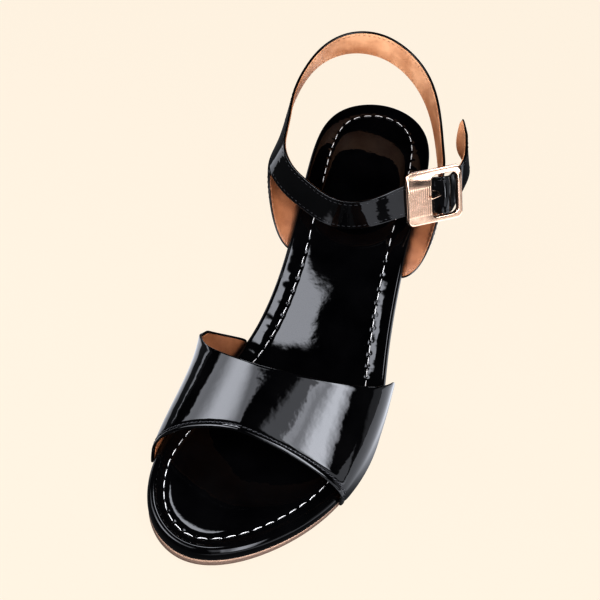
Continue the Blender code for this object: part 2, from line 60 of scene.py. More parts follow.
def addNode(tree, kind, **sockets):
    made = tree.nodes.new("ShaderNode" + kind)
    for key, value in sockets.items():
        made.inputs[key.replace("_", " ")].default_value = value
    return made


def wire(tree, *wires):
    # each wire: a node, its output, the next node, its input
    for source, output, target, socket in wires:
        tree.links.new(source.outputs[output], target.inputs[socket])


def emptyTree(owner):
    owner.use_nodes = True
    owner.node_tree.nodes.clear()
    return owner.node_tree


# The camera and the lights stand in the shoe's own frame
cameraView = {
    "place": (0.04570, -0.41632, 0.34724), "azimuth": 10.565, "elevation": 45.954, "roll": 7.43,
    "lens": 59.69, "sensor": 36.0,
}


def makeCamera():
    a, e, r = (math.radians(cameraView[k]) for k in ("azimuth", "elevation", "roll"))
    forward = Vector((-math.sin(a) * math.cos(e), math.cos(a) * math.cos(e), -math.sin(e)))
    level = Vector((math.cos(a), math.sin(a), 0.0))
    right = level * math.cos(r) + level.cross(forward) * math.sin(r)
    turned = Matrix((right, right.cross(forward), -forward)).transposed().to_4x4()
    camera = bpy.data.objects.new("camera", bpy.data.cameras.new("camera"))
    camera.matrix_world = Matrix.Translation(shoeOrigin + Vector(cameraView["place"])) @ turned
    camera.data.lens = cameraView["lens"]
    camera.data.sensor_width = cameraView["sensor"]
    camera.data.clip_start = 0.01
    bpy.context.scene.collection.objects.link(camera)
    bpy.context.scene.camera = camera


studio = {
    "floorSize": 30.0, "floorColour": (0.990, 0.903, 0.785), "floorGlow": 0.995,
    "floorMatt": (0.018, 0.01656, 0.0144), "floorReflected": (0.10, 0.105, 0.115),
    "world": (0.90, 0.93, 1.0), "worldStrength": 0.32, "worldReflected": 0.004, "gamma": 0.80,
    "lampColour": (0.90, 0.925, 1.0), "aim": (-0.001, -0.149, 0.03),
    "near": 0.2,    # a lamp nearer than this is only there to be mirrored
}
# Soft boxes stand round the shoe: azimuth from the toe towards the wearer's left, elevation, distance
# and roll; then place across and up, width, height, brightness and the shares of width and height
# over which it fades at each edge
softBoxes = {
    "left panel": ((-78.6, 49.2, 0.35, -37.7), (0.060, 0.0, 0.15, 0.53, 4.2, 0.12, 0.05)),
    "left panel's core": ((-78.6, 49.2, 0.352, -37.7), (0.060, 0.0, 0.15, 0.36, 8.0, 0.12, 0.45)),
    "right panel": ((47.8, 36.3, 0.35, -16.8), (-0.030, 0.0, 0.17, 0.36, 5.5, 0.10, 0.06)),
    "right panel's core": ((47.8, 36.3, 0.352, -16.8), (-0.014, 0.0, 0.13, 0.36, 9.5, 0.45, 0.06)),
    "right panel's far part": ((47.8, 36.3, 0.354, -16.8), (-0.125, 0.05, 0.12, 0.30, 2.6, 0.30, 0.10)),
    "right side card": ((93.0, 5.0, 0.52, 0.0), (0.03, 0.01, 0.42, 0.18, 0.7, 0.12, 0.12)),
    "top panel": ((-126.0, 79.0, 0.13, 17.0), (0.018, -0.038, 0.026, 0.104, 14.0, 0.30, 0.05)),
    "buckle's glint": ((104.2, 39.2, 0.168, 0.0), (0.0, 0.0, 0.035, 0.035, 14.0, 0.2, 0.2)),
    "low right card": ((44.0, 0.0, 0.62, 0.0), (0.0, 0.03, 0.62, 0.12, 1.8, 0.06, 0.10)),
}
# Cards lying on the floor: middle (x, y), width, depth, turn, brightness, fade
floorCards = {
    "front card": ((0.115, -0.34), 0.22, 0.20, 20.0, 1.8, 0.12),
    "right card": ((0.255, -0.145), 0.44, 0.30, 0.0, 2.4, 0.05),
    "side card": ((-0.076, -0.155), 0.06, 0.11, 0.0, 1.6, 0.25),
    "heel card": ((-0.01, 0.030), 0.10, 0.08, 0.0, 3.0, 0.35),
    "heel side card": ((-0.070, -0.070), 0.05, 0.05, 0.0, 2.0, 0.35),
    "back card": ((-0.36, 0.035), 0.30, 0.28, 0.0, 2.6, 0.12),
    "rear card": ((0.0, 0.30), 0.22, 0.30, 0.0, 2.4, 0.30),
    "right rear card": ((0.33, 0.10), 0.30, 0.16, 0.0, 2.2, 0.30),
}


def makeFloor():
    bpy.ops.mesh.primitive_plane_add(size=studio["floorSize"], location=(0.0, 0.0, -0.0002))
    floor = bpy.context.active_object
    floor.name = "floor"
    paper = bpy.data.materials.new("cream paper")
    tree = emptyTree(paper)
    seen = addNode(tree, "Emission", Color=(*studio["floorColour"], 1.0), Strength=studio["floorGlow"])
    mirrored = addNode(tree, "Emission", Color=(*studio["floorReflected"], 1.0))
    matt = addNode(tree, "BsdfDiffuse", Color=(*studio["floorMatt"], 1.0))
    both, path = addNode(tree, "AddShader"), addNode(tree, "LightPath")
    mix, out = addNode(tree, "MixShader"), addNode(tree, "OutputMaterial")
    wire(tree, (seen, 0, both, 0), (matt, 0, both, 1), (path, "Is Glossy Ray", mix, 0),
         (both, 0, mix, 1), (mirrored, 0, mix, 2), (mix, 0, out, "Surface"))
    floor.data.materials.append(paper)


def makeWorld():
    world = bpy.data.worlds.new("studio")
    bpy.context.scene.world = world
    tree = emptyTree(world)
    sky = addNode(tree, "Background", Color=(*studio["world"], 1.0))
    # seen directly it goes on in the floor's colour, without a horizon
    behind = addNode(tree, "Background", Color=(*studio["floorColour"], 1.0), Strength=studio["floorGlow"])
    path, strength = addNode(tree, "LightPath"), addNode(tree, "Mix")
    over, out = addNode(tree, "MixShader"), addNode(tree, "OutputWorld")
    strength.inputs[2].default_value = studio["worldStrength"]
    strength.inputs[3].default_value = studio["worldReflected"]
    wire(tree, (path, "Is Glossy Ray", strength, 0), (strength, 0, sky, "Strength"),
         (path, "Is Camera Ray", over, 0), (sky, 0, over, 1), (behind, 0, over, 2), (over, 0, out, "Surface"))


def addBox(name, place, axes, width, height, brightness, fadeX, fadeY, near=False):
    # a soft box whose light falls off towards its edges; it shines backwards along its third axis
    lamp = bpy.data.lights.new(name, "AREA")
    lamp.shape = "RECTANGLE"
    lamp.size, lamp.size_y = width, height
    lamp.energy = brightness * math.pi * width * height
    lamp.color = studio["lampColour"]
    tree = emptyTree(lamp)
    where, parts, product, shine, out = (addNode(tree, kind) for kind in (
        "NewGeometry", "SeparateXYZ", "Math", "Emission", "OutputLight"))
    product.operation = "MULTIPLY"
    wire(tree, (where, "Parametric", parts, 0), (product, 0, shine, "Strength"), (shine, 0, out, 0))
    for axis, fade in enumerate((fadeX, fadeY)):
        ramp = addNode(tree, "ValToRGB")
        ramp.color_ramp.interpolation = "EASE"
        stops = ramp.color_ramp.elements
        stops[1].color = (0.0, 0.0, 0.0, 1.0)
        for at in (fade, 1.0 - fade):
            stops.new(at).color = (1.0, 1.0, 1.0, 1.0)
        wire(tree, (parts, axis, ramp, 0), (ramp, 0, product, axis))
    box = bpy.data.objects.new(name, lamp)
    box.matrix_world = Matrix.Translation(place) @ Matrix(axes).transposed().to_4x4()
    box.visible_camera = False
    box.visible_diffuse = not near
    bpy.context.scene.collection.objects.link(box)


def makeLights():
    for name, ((azimuth, elevation, distance, roll), (x, y, *box)) in softBoxes.items():
        a, e, r = (math.radians(v) for v in (azimuth, elevation, roll))
        back = Vector((math.sin(a) * math.cos(e), -math.cos(a) * math.cos(e), math.sin(e)))
        level = Vector((math.cos(a), math.sin(a), 0.0))
        across = level * math.cos(r) + back.cross(level) * math.sin(r)
        upward = back.cross(across)
        place = shoeOrigin + Vector(studio["aim"]) + back * distance + across * x + upward * y
        addBox(name, place, (across, upward, back), *box, distance < studio["near"])
    for name, ((x, y), width, depth, turn, brightness, fade) in floorCards.items():
        t = math.radians(turn)
        across, upward = Vector((math.cos(t), math.sin(t), 0.0)), Vector((-math.sin(t), math.cos(t), 0.0))
        addBox(name, shoeOrigin + Vector((x, y, 0.0005)), (across, -upward, Vector((0.0, 0.0, -1.0))),
               width, depth, brightness, fade, fade)


bpy.context.scene.view_settings.view_transform = "Standard"
bpy.context.scene.view_settings.gamma = studio["gamma"]
makeCamera()
makeFloor()
makeWorld()
makeLights()
print("camera, floor and lights ready")


def naturalSpline(knots, values, at):
    knots, values, at = np.asarray(knots, float), np.asarray(values, float), np.asarray(at, float)
    step = np.diff(knots)
    slope = np.diff(values, axis=0) / step[:, None]
    count = len(knots)
    system, right = np.eye(count), np.zeros_like(values)
    for i in range(1, count - 1):
        system[i, i - 1:i + 2] = step[i - 1], 2 * (step[i - 1] + step[i]), step[i]
        right[i] = 6 * (slope[i] - slope[i - 1])
    bend = np.linalg.solve(system, right)
    i = np.clip(np.searchsorted(knots, at) - 1, 0, count - 2)
    before, after, width = (at - knots[i])[:, None], (knots[i + 1] - at)[:, None], step[i][:, None]
    curve = (bend[i] * after ** 3 + bend[i + 1] * before ** 3) / (6 * width)
    return (curve + (values[i] / width - bend[i] * width / 6) * after
            + (values[i + 1] / width - bend[i + 1] * width / 6) * before)


def clamp(value, low=0.0, high=1.0):
    return max(low, min(high, value))


def smoothStep(t):
    t = clamp(t)
    return t * t * (3 - 2 * t)


def bump(distance, reach):
    return math.exp(-(distance / reach) ** 2)


def waves(spot, sizes):
    # soft irregular waves; sizes: depth, length, seed
    x, y, z = spot
    return sum(depth * noise.noise(Vector((x / length + seed, y / length - seed, z / length + 2 * seed)))
               for depth, length, seed in sizes)


def runLengths(path):
    # length along a path up to each of its points
    return np.concatenate(([0], np.cumsum(np.linalg.norm(np.diff(path, axis=0), axis=1))))


def makePiece(name, points, faces):
    mesh = bpy.data.meshes.new(name)
    mesh.from_pydata([tuple(p) for p in points], [], faces)
    mesh.update()
    piece = bpy.data.objects.new(name, mesh)
    bpy.context.scene.collection.objects.link(piece)
    return piece


def gridFaces(rows, columns, first=0, closeRows=False, closeColumns=False):
    faces = []
    for i in range(rows if closeRows else rows - 1):
        for j in range(columns if closeColumns else columns - 1):
            a, b = i * columns, (i + 1) % rows * columns
            k = (j + 1) % columns
            faces.append((first + a + j, first + b + j, first + b + k, first + a + k))
    return faces


def ringFaces(rings, count, first=0):
    # faces of a closed solid through rings of points, with both ends capped
    last = first + (rings - 1) * count
    caps = [tuple(range(first, first + count)), tuple(range(last, last + count))[::-1]]
    return gridFaces(rings, count, first, closeColumns=True) + caps


def thicken(piece, thickness, levels):
    # a wall inwards from the outer face, rounded off, as plain mesh
    wall = piece.modifiers.new("wall", "SOLIDIFY")
    wall.thickness = thickness
    wall.offset = -1.0
    wall.use_even_offset = False
    smooth = piece.modifiers.new("smooth", "SUBSURF")
    smooth.levels = smooth.render_levels = levels
    smooth.boundary_smooth = "ALL"
    graph = bpy.context.evaluated_depsgraph_get()
    graph.update()
    mesh = bpy.data.meshes.new_from_object(piece.evaluated_get(graph))
    mesh.name = piece.name
    old = piece.data
    piece.modifiers.clear()
    piece.data = mesh
    bpy.data.meshes.remove(old)


def fitPiece(piece, node, finish):
    piece.data.materials.clear()
    piece.data.materials.append(finish)
    piece.data.shade_smooth()
    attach(piece, "root")
    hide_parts(node)


def fitSolid(name, node, slotName, finish, points, faces):
    # a piece made of closed solids, their faces turned outwards
    piece = makePiece(name, points, faces)
    shape = bmesh.new()
    shape.from_mesh(piece.data)
    bmesh.ops.recalc_face_normals(shape, faces=shape.faces)
    shape.to_mesh(piece.data)
    shape.free()
    fitPiece(piece, node, finish)
    return piece


class Finish:
    # one material in the making; its patterns follow the piece's own coordinates
    def __init__(self, name, look):
        self.look = look
        self.material = bpy.data.materials.new(name)
        self.material.use_nodes = True
        self.tree = self.material.node_tree
        self.shader = self.tree.nodes["Principled BSDF"]
        for key, value in look["shader"].items():
            self.shader.inputs[key].default_value = value
        self.where = self.add("TexCoord").outputs["Object"]
        self.cloud = self.noise(*look["cloud"])
        self.grain = [(self.noise(scale, detail), depth) for scale, detail, depth in look["grain"]]

    def add(self, kind, **sockets):
        return addNode(self.tree, kind, **sockets)

    def join(self, source, target):
        self.tree.links.new(source, target)

    def noise(self, scale, detail=3.0, distortion=0.0):
        made = self.add("TexNoise", Scale=scale, Detail=detail, Distortion=distortion)
        self.join(self.where, made.inputs["Vector"])
        return made.outputs["Fac"]

    def cells(self, scale, randomness=1.0):
        made = self.add("TexVoronoi", Scale=scale, Randomness=randomness)
        self.join(self.where, made.inputs["Vector"])
        return made.outputs["Distance"]

    def height(self, vector):
        made = self.add("SeparateXYZ")
        self.join(vector, made.inputs[0])
        return made.outputs[2]

    def facing(self):
        return self.height(self.add("NewGeometry").outputs["Normal"])

    def spread(self, source, low, high, start=0.0, end=1.0):
        made = self.add("MapRange", From_Min=start, From_Max=end, To_Min=low, To_Max=high)
        self.join(source, made.inputs["Value"])
        return made.outputs["Result"]

    def work(self, operation, *sources):
        made = self.add("Math")
        made.operation = operation
        for source, socket in zip(sources, made.inputs):
            self.join(source, socket)
        return made.outputs[0]

    def colour(self, source, stops):
        ramp = self.add("ValToRGB")
        ends = ramp.color_ramp.elements
        for end, (place, colour) in zip((ends[0], ends[1]), (stops[0], stops[-1])):
            end.position = place
            end.color = (*colour, 1.0)
        for place, colour in stops[1:-1]:
            ends.new(place).color = (*colour, 1.0)
        self.join(source, ramp.inputs["Fac"])
        self.join(ramp.outputs["Color"], self.shader.inputs["Base Color"])

    def dent(self, heights):
        # heights: source and depth, each laid on the one before
        last = None
        for source, depth in heights:
            made = self.add("Bump", Distance=depth, Strength=1.0)
            self.join(source, made.inputs["Height"])
            if last is not None:
                self.join(last, made.inputs["Normal"])
            last = made.outputs["Normal"]
        for key in ("Normal", "Coat Normal"):
            self.join(last, self.shader.inputs[key])

    def finished(self, source, heights):
        self.colour(source, self.look["stops"])
        if "rough" in self.look:
            rough = self.spread(self.noise(*self.look["rough"]), *self.look["roughness"])
            self.join(rough, self.shader.inputs["Roughness"])
        self.dent(heights)
        return self.material


# Each look: values on the shader; the scale and detail of the cloud that the colour follows, and its
# stops; those of the cloud that the roughness follows, and its range; the grain's scale, detail and depth
patentLook = {
    "shader": {"Coat Weight": 1.0, "Coat Roughness": 0.03, "Coat IOR": 1.5, "Specular IOR Level": 0.0},
    "cloud": (60.0, 3.0), "stops": ((0.35, (0.0008, 0.0008, 0.0010)), (0.7, (0.0024, 0.0023, 0.0026))),
    "rough": (240.0, 4.0), "roughness": (0.02, 0.09),
    "grain": ((150.0, 1.5, 0.00008), (420.0, 1.0, 0.000024), (900.0, 2.0, 0.0000035)),
}
bedLook = {
    **patentLook, "shader": {**patentLook["shader"], "Coat IOR": 1.38},
    "grain": ((150.0, 1.5, 0.00004), (420.0, 1.0, 0.000012), (900.0, 2.0, 0.0000035)),
}
plateLook = {
    "shader": {"Metallic": 1.0},
    "cloud": (500.0, 4.0), "stops": ((0.3, (0.71, 0.490, 0.360)), (0.7, (0.79, 0.570, 0.430))),
    "rough": (300.0, 2.0), "roughness": (0.15, 0.24), "grain": ((400.0, 2.0, 0.000006),),
}


def plainFinish(name, look):
    f = Finish(name, look)
    return f.finished(f.cloud, f.grain)


liningLook = {
    "shader": {"IOR": 1.45, "Coat Weight": 0.25, "Coat Roughness": 0.22},
    "cloud": (70.0, 5.0), "rough": (900.0, 3.0), "roughness": (0.42, 0.62),
    # the darkest stops are reached through the painted shade, the palest through the painted light up on the
    # loop
    "stops": ((0.08, (0.030, 0.009, 0.005)), (0.34, (0.300, 0.112, 0.042)), (0.5, (0.405, 0.166, 0.070)),
              (0.66, (0.480, 0.215, 0.098)), (0.9, (0.780, 0.440, 0.250))),
    "pores": 1900.0, "poreDepth": 0.00004, "grain": ((260.0, 4.0, 0.00010),),
    # painted shade: ambient occlusion darkens the lining's colour in corners and down where it meets the
    # footbed
    "paintedShadeReach": 0.016, "paintedShadeFrom": 0.35, "paintedShadeTo": 0.80, "paintedShadeDepth": 0.34,    # darker in corners
    # painted light: the lining's colour is made paler the higher it stands, up on the loop
    "paintedLightFrom": 0.064, "paintedLightTo": 0.098, "paintedLight": 0.36,                          # and paler up on the loop
}


def liningFinish(name):
    look = liningLook
    f = Finish(name, look)
    # painted shade: the colour is pulled darker where ambient occlusion finds nearby surfaces
    occlusionProbe = f.add("AmbientOcclusion", Distance=look["paintedShadeReach"])
    occlusionProbe.samples = 6
    dark = f.spread(occlusionProbe.outputs["AO"], -look["paintedShadeDepth"], 0.0, look["paintedShadeFrom"], look["paintedShadeTo"])
    # painted light: paler with height, standing in for the light that falls on the loop
    paintedLight = f.spread(f.height(f.where), 0.0, look["paintedLight"], look["paintedLightFrom"], look["paintedLightTo"])
    shaded = f.work("ADD", paintedLight, f.work("ADD", dark, f.cloud))
    return f.finished(shaded, [(f.cells(look["pores"]), look["poreDepth"])] + f.grain)


sheetLook = {
    "shader": {"IOR": 1.45}, "cloud": (45.0, 6.0, 0.4), "scuff": (-0.25, 0.15),
    "stops": ((0.2, (0.20, 0.135, 0.105)), (0.6, (0.42, 0.275, 0.195)), (0.8, (0.62, 0.405, 0.285)),
              (1.0, (0.68, 0.450, 0.320))),
    "rough": (350.0, 4.0), "roughness": (0.42, 0.62),
    "grain": ((2600.0, 4.0, 0.00003), (300.0, 3.0, 0.00006)),
}


def sheetFinish(name):
    # plain sole sheet with a faint scuff, and darker where its surface faces sideways, round the edge
    f = Finish(name, sheetLook)
    flat = f.work("ABSOLUTE", f.facing())
    return f.finished(f.work("ADD", flat, f.spread(f.cloud, *sheetLook["scuff"])), f.grain)


rubberLook = {
    "shader": {"IOR": 1.45},
    "cloud": (150.0, 5.0), "stops": ((0.3, (0.62, 0.235, 0.060)), (0.7, (0.74, 0.300, 0.090))),
    "rough": (700.0, 4.0), "roughness": (0.5, 0.72), "grain": ((1800.0, 4.0, 0.00005),),
    "dotsPerMetre": 900.0, "dotDepth": 0.0003,
}


def rubberFinish(name):
    # rows of fine raised dots on the tread, and none on the sides
    f = Finish(name, rubberLook)
    dots = f.work("MULTIPLY", f.cells(rubberLook["dotsPerMetre"], 0.0), f.facing())
    return f.finished(f.cloud, f.grain + [(dots, rubberLook["dotDepth"])])


def threadLook(dark, light, roughness=0.55):
    return {"shader": {"IOR": 1.45, "Roughness": roughness}, "cloud": (1500.0, 3.0),
            "stops": ((0.3, dark), (0.7, light)), "grain": ((5200.0, 2.0, 0.00006),)}


blackPatent = plainFinish("black patent", patentLook)
heelPatent = plainFinish("heel patent", patentLook)
bedPatent = plainFinish("footbed patent", bedLook)
tanLining = liningFinish("tan lining")
bandLining = liningFinish("band lining")
beigeSheet = sheetFinish("beige sole sheet")
tanRubber = rubberFinish("tan rubber")
roseGold = plainFinish("rose gold plate", plateLook)
whiteThread = plainFinish("white thread", threadLook((0.62, 0.60, 0.57), (0.88, 0.87, 0.84)))
blackThread = plainFinish("black thread", threadLook((0.012, 0.012, 0.013), (0.05, 0.05, 0.055), 0.35))
tanThread = plainFinish("tan thread", threadLook((0.34, 0.175, 0.095), (0.46, 0.25, 0.145)))
print("finishes ready")


# The last: outline and underside of the sole
lastSizes = {
    "length": 0.238, "ballWidth": 0.0800, "heelRise": 0.0439, "breast": 0.058, "seatSlope": 0.186,
    "ball": 0.1515, "archFullness": 2.65, "spring": 0.1835, "toeSpring": 0.0034, "toeTurn": -0.0173,
    "turnFrom": 0.120, "soleWall": 0.0030, "gap": 0.0003, "bedWall": 0.0058,
    # past the deepest inset the rings run on to a spine down the middle
    "deepest": 0.016, "spineFrom": 0.026, "spineShare": 0.755, "spineInset": 0.01,
    # turn round the outline in degrees, then its reach to either side as a share of the ball width
    "outline": ((0.0, 0.718, 0.718), (22.5, 0.677, 0.640), (45.0, 0.492, 0.494), (67.5, 0.337, 0.394),
                (90.0, 0.339, 0.422), (112.5, 0.522, 0.545), (135.0, 0.652, 0.611), (157.5, 0.675, 0.618),
                (180.0, 0.627, 0.627)),
}


def soleHeight(u):
    s = lastSizes
    if u < s["breast"]:
        return s["heelRise"] - s["seatSlope"] * (u - s["breast"])
    if u < s["ball"]:
        run = s["ball"] - s["breast"]
        t = (u - s["breast"]) / run
        return ((2 * t ** 3 - 3 * t ** 2 + 1) * s["heelRise"]
                - (t ** 3 - 2 * t ** 2 + t) * run * s["seatSlope"] * s["archFullness"])
    return s["toeSpring"] * clamp((u - s["spring"]) / (s["length"] - s["spring"]), 0.0, 1.2) ** 2


def solePoint(u, x, lift):
    slope = (soleHeight(u + 0.0002) - soleHeight(u - 0.0002)) / 0.0004
    size = math.hypot(1.0, slope)
    return shoeOrigin + Vector((x, -u + lift * slope / size, soleHeight(u) + lift / size))


def outlineAt(turns):
    # station, medial x and lateral x at turns in degrees from the heel's back
    table = np.array(lastSizes["outline"])
    turns = np.atleast_1d(np.asarray(turns, float))
    reach = naturalSpline(table[:, 0], table[:, 1:], turns) * lastSizes["ballWidth"]
    u = lastSizes["length"] / 2 * (1 - np.cos(np.radians(turns)))
    swing = np.clip((u - lastSizes["turnFrom"]) / (lastSizes["length"] - lastSizes["turnFrom"]), 0, 1)
    centre = lastSizes["toeTurn"] * swing ** 2
    width = np.sin(np.radians(turns))
    return u, centre - reach[:, 0] * width, centre + reach[:, 1] * width


def outlineSides(u):
    turn = math.degrees(math.acos(clamp(1 - 2 * u / lastSizes["length"], -1.0, 1.0)))
    _, medial, lateral = outlineAt([turn])
    return medial[0], lateral[0]


def soleRim(steps):
    # even points down the lateral side and back up the medial side, with the outward direction at each
    turns = np.linspace(0, 180, 3000)
    u, medial, lateral = outlineAt(turns)
    run = (np.hypot(np.diff(u), np.diff(medial)) + np.hypot(np.diff(u), np.diff(lateral))) / 2
    reach = np.concatenate(([0], np.cumsum(run)))
    u, medial, lateral = outlineAt(np.interp(np.linspace(0, reach[-1], steps + 1), reach, turns))
    rim = np.concatenate((np.stack((u, lateral), 1), np.stack((u, medial), 1)[-2:0:-1]))
    ahead = np.roll(rim, -1, 0) - np.roll(rim, 1, 0)
    ahead /= np.linalg.norm(ahead, axis=1)[:, None]
    return rim, np.stack((-ahead[:, 1], ahead[:, 0]), 1)


def rimLength(rim):
    return runLengths(np.vstack((rim, rim[:1])))


def spineRing(rim, outward, share):
    # that share of the way from the deepest inset to the spine
    deep = rim - outward * lastSizes["deepest"]
    spineU = lastSizes["spineFrom"] + rim[:, 0] * lastSizes["spineShare"]
    spine = np.stack((spineU, [sum(outlineSides(u)) / 2 for u in spineU]), 1)
    return deep + (spine - deep) * share


def soleSolid(name, steps, profile, under, crown, relief=None, drawn=None):
    # closed solid: underside spine, rings out to the edge, up its side and in over the top to the spine
    rim, outward = soleRim(steps)
    reach = rimLength(rim)
    count = len(rim)
    plan = [(0.0, under, 1.0), (0.0, under, 0.5)] + [(inset, lift, 0.0) for inset, lift in profile]
    plan += [(0.0, profile[-1][1] + rise, share) for share, rise in crown]
    points = []
    for inset, lift, share in plan:
        if share:
            ring = spineRing(rim, outward, share)
            inset = lastSizes["deepest"] + share * lastSizes["spineInset"]
        else:
            ring = rim - outward * (inset - drawn(inset) if drawn else inset)
        for k in range(count):
            extra = relief(reach[k], inset, ring[k]) if relief and lift > padSizes["reliefFrom"] else 0.0
            points.append(solePoint(*ring[k], lift + extra))
    piece = makePiece(name, points, gridFaces(len(plan), count, closeColumns=True))
    # the two sides meet on the spines
    shape = bmesh.new()
    shape.from_mesh(piece.data)
    verts = list(shape.verts)
    spines = verts[:count], verts[-count:]
    for spine in spines:
        for k in range(1, count // 2):
            spine[k].co = spine[-k].co = (spine[k].co + spine[-k].co) / 2
    bmesh.ops.remove_doubles(shape, verts=spines[0] + spines[1], dist=0.000002)
    bmesh.ops.recalc_face_normals(shape, faces=shape.faces)
    shape.to_mesh(piece.data)
    shape.free()
    return piece


outsoleSizes = {
    "steps": 300, "crown": ((0.5, 0.0), (1.0, 0.0)),
    # inset from the outline and height over the underside; then inset and depth under the upper face
    "lower": ((0.016, 0.0), (0.008, 0.0), (0.003, 0.0), (0.0015, 0.0), (0.0010, 0.00006), (0.0007, 0.00025),
              (0.0005, 0.0006), (0.0005, 0.0015)),
    "upper": ((0.0005, 0.0006), (0.00065, 0.0002), (0.0009, 0.0), (0.0016, 0.0), (0.004, 0.0), (0.016, 0.0)),
}


def makeOutsole():
    o = outsoleSizes
    profile = [*o["lower"], *((inset, lastSizes["soleWall"] - depth) for inset, depth in o["upper"])]
    sole = soleSolid("outsole_sheet", o["steps"], profile, 0.0, o["crown"])
    fitPiece(sole, "outsole", beigeSheet)


# Padded footbed with its running stitch
padSizes = {
    "stitchInset": 0.0087, "stitchPitch": 0.0055, "stitchLift": 0.00852, "overStitch": 0.0092,
    "stitchUneven": 0.0003, "stitchSkew": 0.10, "stitchSpan": 0.002,
    "stitch": {"length": 0.0044, "thick": 0.00044, "rise": 0.00030, "sink": 0.00045, "plies": 2},
    "toeFrom": 0.172, "toeOver": 0.030, "toeMedial": 0.0022, "toeLateral": 0.0010, "toeAcross": 0.05,
    "drawFrom": 0.0028, "drawOver": 0.003, "drawTo": 0.0155, "drawBack": 0.005,
    # dips at the needle holes and puckers beside them: place across from the stitch line, reach
    "holeDip": 0.00016, "holeReach": 0.0007, "puckerDepth": 0.00003, "puckerAlong": 0.0009,
    "puckerOutside": (-0.0016, 0.0021), "puckerInside": (0.0004, 0.0011),
    "easeFrom": 0.45, "easeOver": 0.9, "easeWave": ((1.0, 0.02, 3.1),),
    # wrinkles across the rolled edge: depth, place and reach over the edge, and where along the shoe
    "wrinkle": 0.00016, "wrinkleAt": 0.0050, "wrinkleReach": 0.0026, "wrinkleStretch": 0.22,
    "wrinkleWave": ((1.0, 0.0048, 5.3),), "wrinkled": ((1.0, 0.115, 0.055), (0.5, 0.20, 0.018)),
    "broadWaves": ((0.00016, 0.030, 1.7), (0.00004, 0.011, 2.2)), "reliefFrom": 0.0055,
    "steps": 450, "under": 0.00335,
    "crown": ((0.16, 0.00002), (0.34, 0.00003), (0.52, 0.00004), (0.70, 0.00004), (0.86, 0.00004),
              (1.0, 0.00004)),
    # inset from the outline and lift above the sole's underside: side, rolled edge, sewn channel, crown
    "profile": ((0.012, 0.00335), (0.0024, 0.00332), (0.0012, 0.0033), (0.0006, 0.0035), (0.00025, 0.0041),
                (0.00008, 0.0050), (0.00005, 0.0060), (0.00012, 0.0068), (0.00030, 0.0075),
                (0.00062, 0.00810), (0.00105, 0.00858), (0.00160, 0.00892), (0.0023, 0.00908),
                (0.0031, 0.00912), (0.0040, 0.00909), (0.0050, 0.00902), (0.0060, 0.00892),
                (0.0069, 0.00879), (0.0076, 0.00866), (0.0081, 0.00853), (0.0085, 0.00844),
                (0.0088, 0.00842), (0.0092, 0.00850), (0.0096, 0.00865), (0.0101, 0.00882),
                (0.0107, 0.00896), (0.0115, 0.00907), (0.0126, 0.00916), (0.0141, 0.00924),
                (0.0160, 0.00930)),
}


def toeShift(rim):
    # round the toe the stitch line runs closer to the edge, most of all on the big-toe side
    p = padSizes
    onto = np.array([smoothStep((u - p["toeFrom"]) / p["toeOver"]) for u in rim[:, 0]])
    side = np.array([smoothStep(0.5 - x / p["toeAcross"]) for x in rim[:, 1]])
    return onto * (p["toeLateral"] + (p["toeMedial"] - p["toeLateral"]) * side)


def stitchLine():
    rim, outward = soleRim(padSizes["steps"])
    line = rim - outward * (padSizes["stitchInset"] - toeShift(rim))[:, None]
    reach = rimLength(line)
    return line, reach, round(reach[-1] / padSizes["stitchPitch"])


def padRelief():
    # dips at the needle holes, puckers on both sides of the stitches and soft waves all over
    p = padSizes
    _, reach, count = stitchLine()
    rimReach = rimLength(soleRim(p["steps"])[0])
    holes = np.interp(np.arange(count) * reach[-1] / count, reach, rimReach)
    total = rimReach[-1]

    def relief(s, inset, plan):
        near = holes[np.argmin(np.abs((holes - s + total / 2) % total - total / 2))]
        away = abs((near - s + total / 2) % total - total / 2)
        across = inset - p["stitchInset"]
        dip = p["holeDip"] * math.exp(-(away ** 2 + across ** 2) / p["holeReach"] ** 2)
        place, width = p["puckerOutside"] if across < 0.0 else p["puckerInside"]
        ease = p["easeFrom"] + p["easeOver"] * (0.5 + waves((*plan, 0), p["easeWave"]))
        pucker = -p["puckerDepth"] * bump(away, p["puckerAlong"]) * bump(across - place, width) * ease
        here = sum(share * bump(plan[0] - middle, width) for share, middle, width in p["wrinkled"])
        folds = waves((s, inset * p["wrinkleStretch"], 0), p["wrinkleWave"])
        folds *= bump(inset - p["wrinkleAt"], p["wrinkleReach"])
        return waves((*plan, 0), p["broadWaves"]) - dip + pucker + p["wrinkle"] * folds * here * ease

    return relief


def padDraw():
    # the rings beside the stitch line follow it towards the edge round the toe
    p = padSizes
    shift = toeShift(soleRim(p["steps"])[0])[:, None]
    return lambda inset: shift * (smoothStep((inset - p["drawFrom"]) / p["drawOver"])
                                  * smoothStep((p["drawTo"] - inset) / p["drawBack"]))


stitchForm = {
    "plain": (6, 6), "twisted": (9, 8),    # rings and sides
    "blunt": 5, "thinnest": 0.05, "flatness": 0.8, "plyDepth": 0.16, "twist": 5.0,
    "uneven": 0.03, "hold": 0.4,
}


def addStitch(points, faces, centre, along, normal, look):
    # one short thread lying on the surface, its ends going down into the needle holes
    form, plies = stitchForm, look.get("plies", 0)
    side = normal.cross(along).normalized()
    rings, sides = form["twisted"] if plies else form["plain"]
    first = len(points)
    for i in range(rings):
        t = -1 + 2 * i / (rings - 1)
        radius = look["thick"] / 2 * math.sqrt(max(1 - abs(t) ** form["blunt"], form["thinnest"]))
        rise = look["rise"] * (1 - t * t) - look["sink"] * t ** 4
        spot = centre + along * (t * look["length"] / 2) + normal * rise + side * (look.get("slant", 0.0) * t)
        for k in range(sides):
            a = math.tau * k / sides
            r = radius
            if plies:
                r *= 1 + form["plyDepth"] * math.cos(plies * a + form["twist"] * t)
            points.append(spot + side * (math.cos(a) * r) + normal * (math.sin(a) * r * form["flatness"]))
    faces += ringFaces(rings, sides, first)


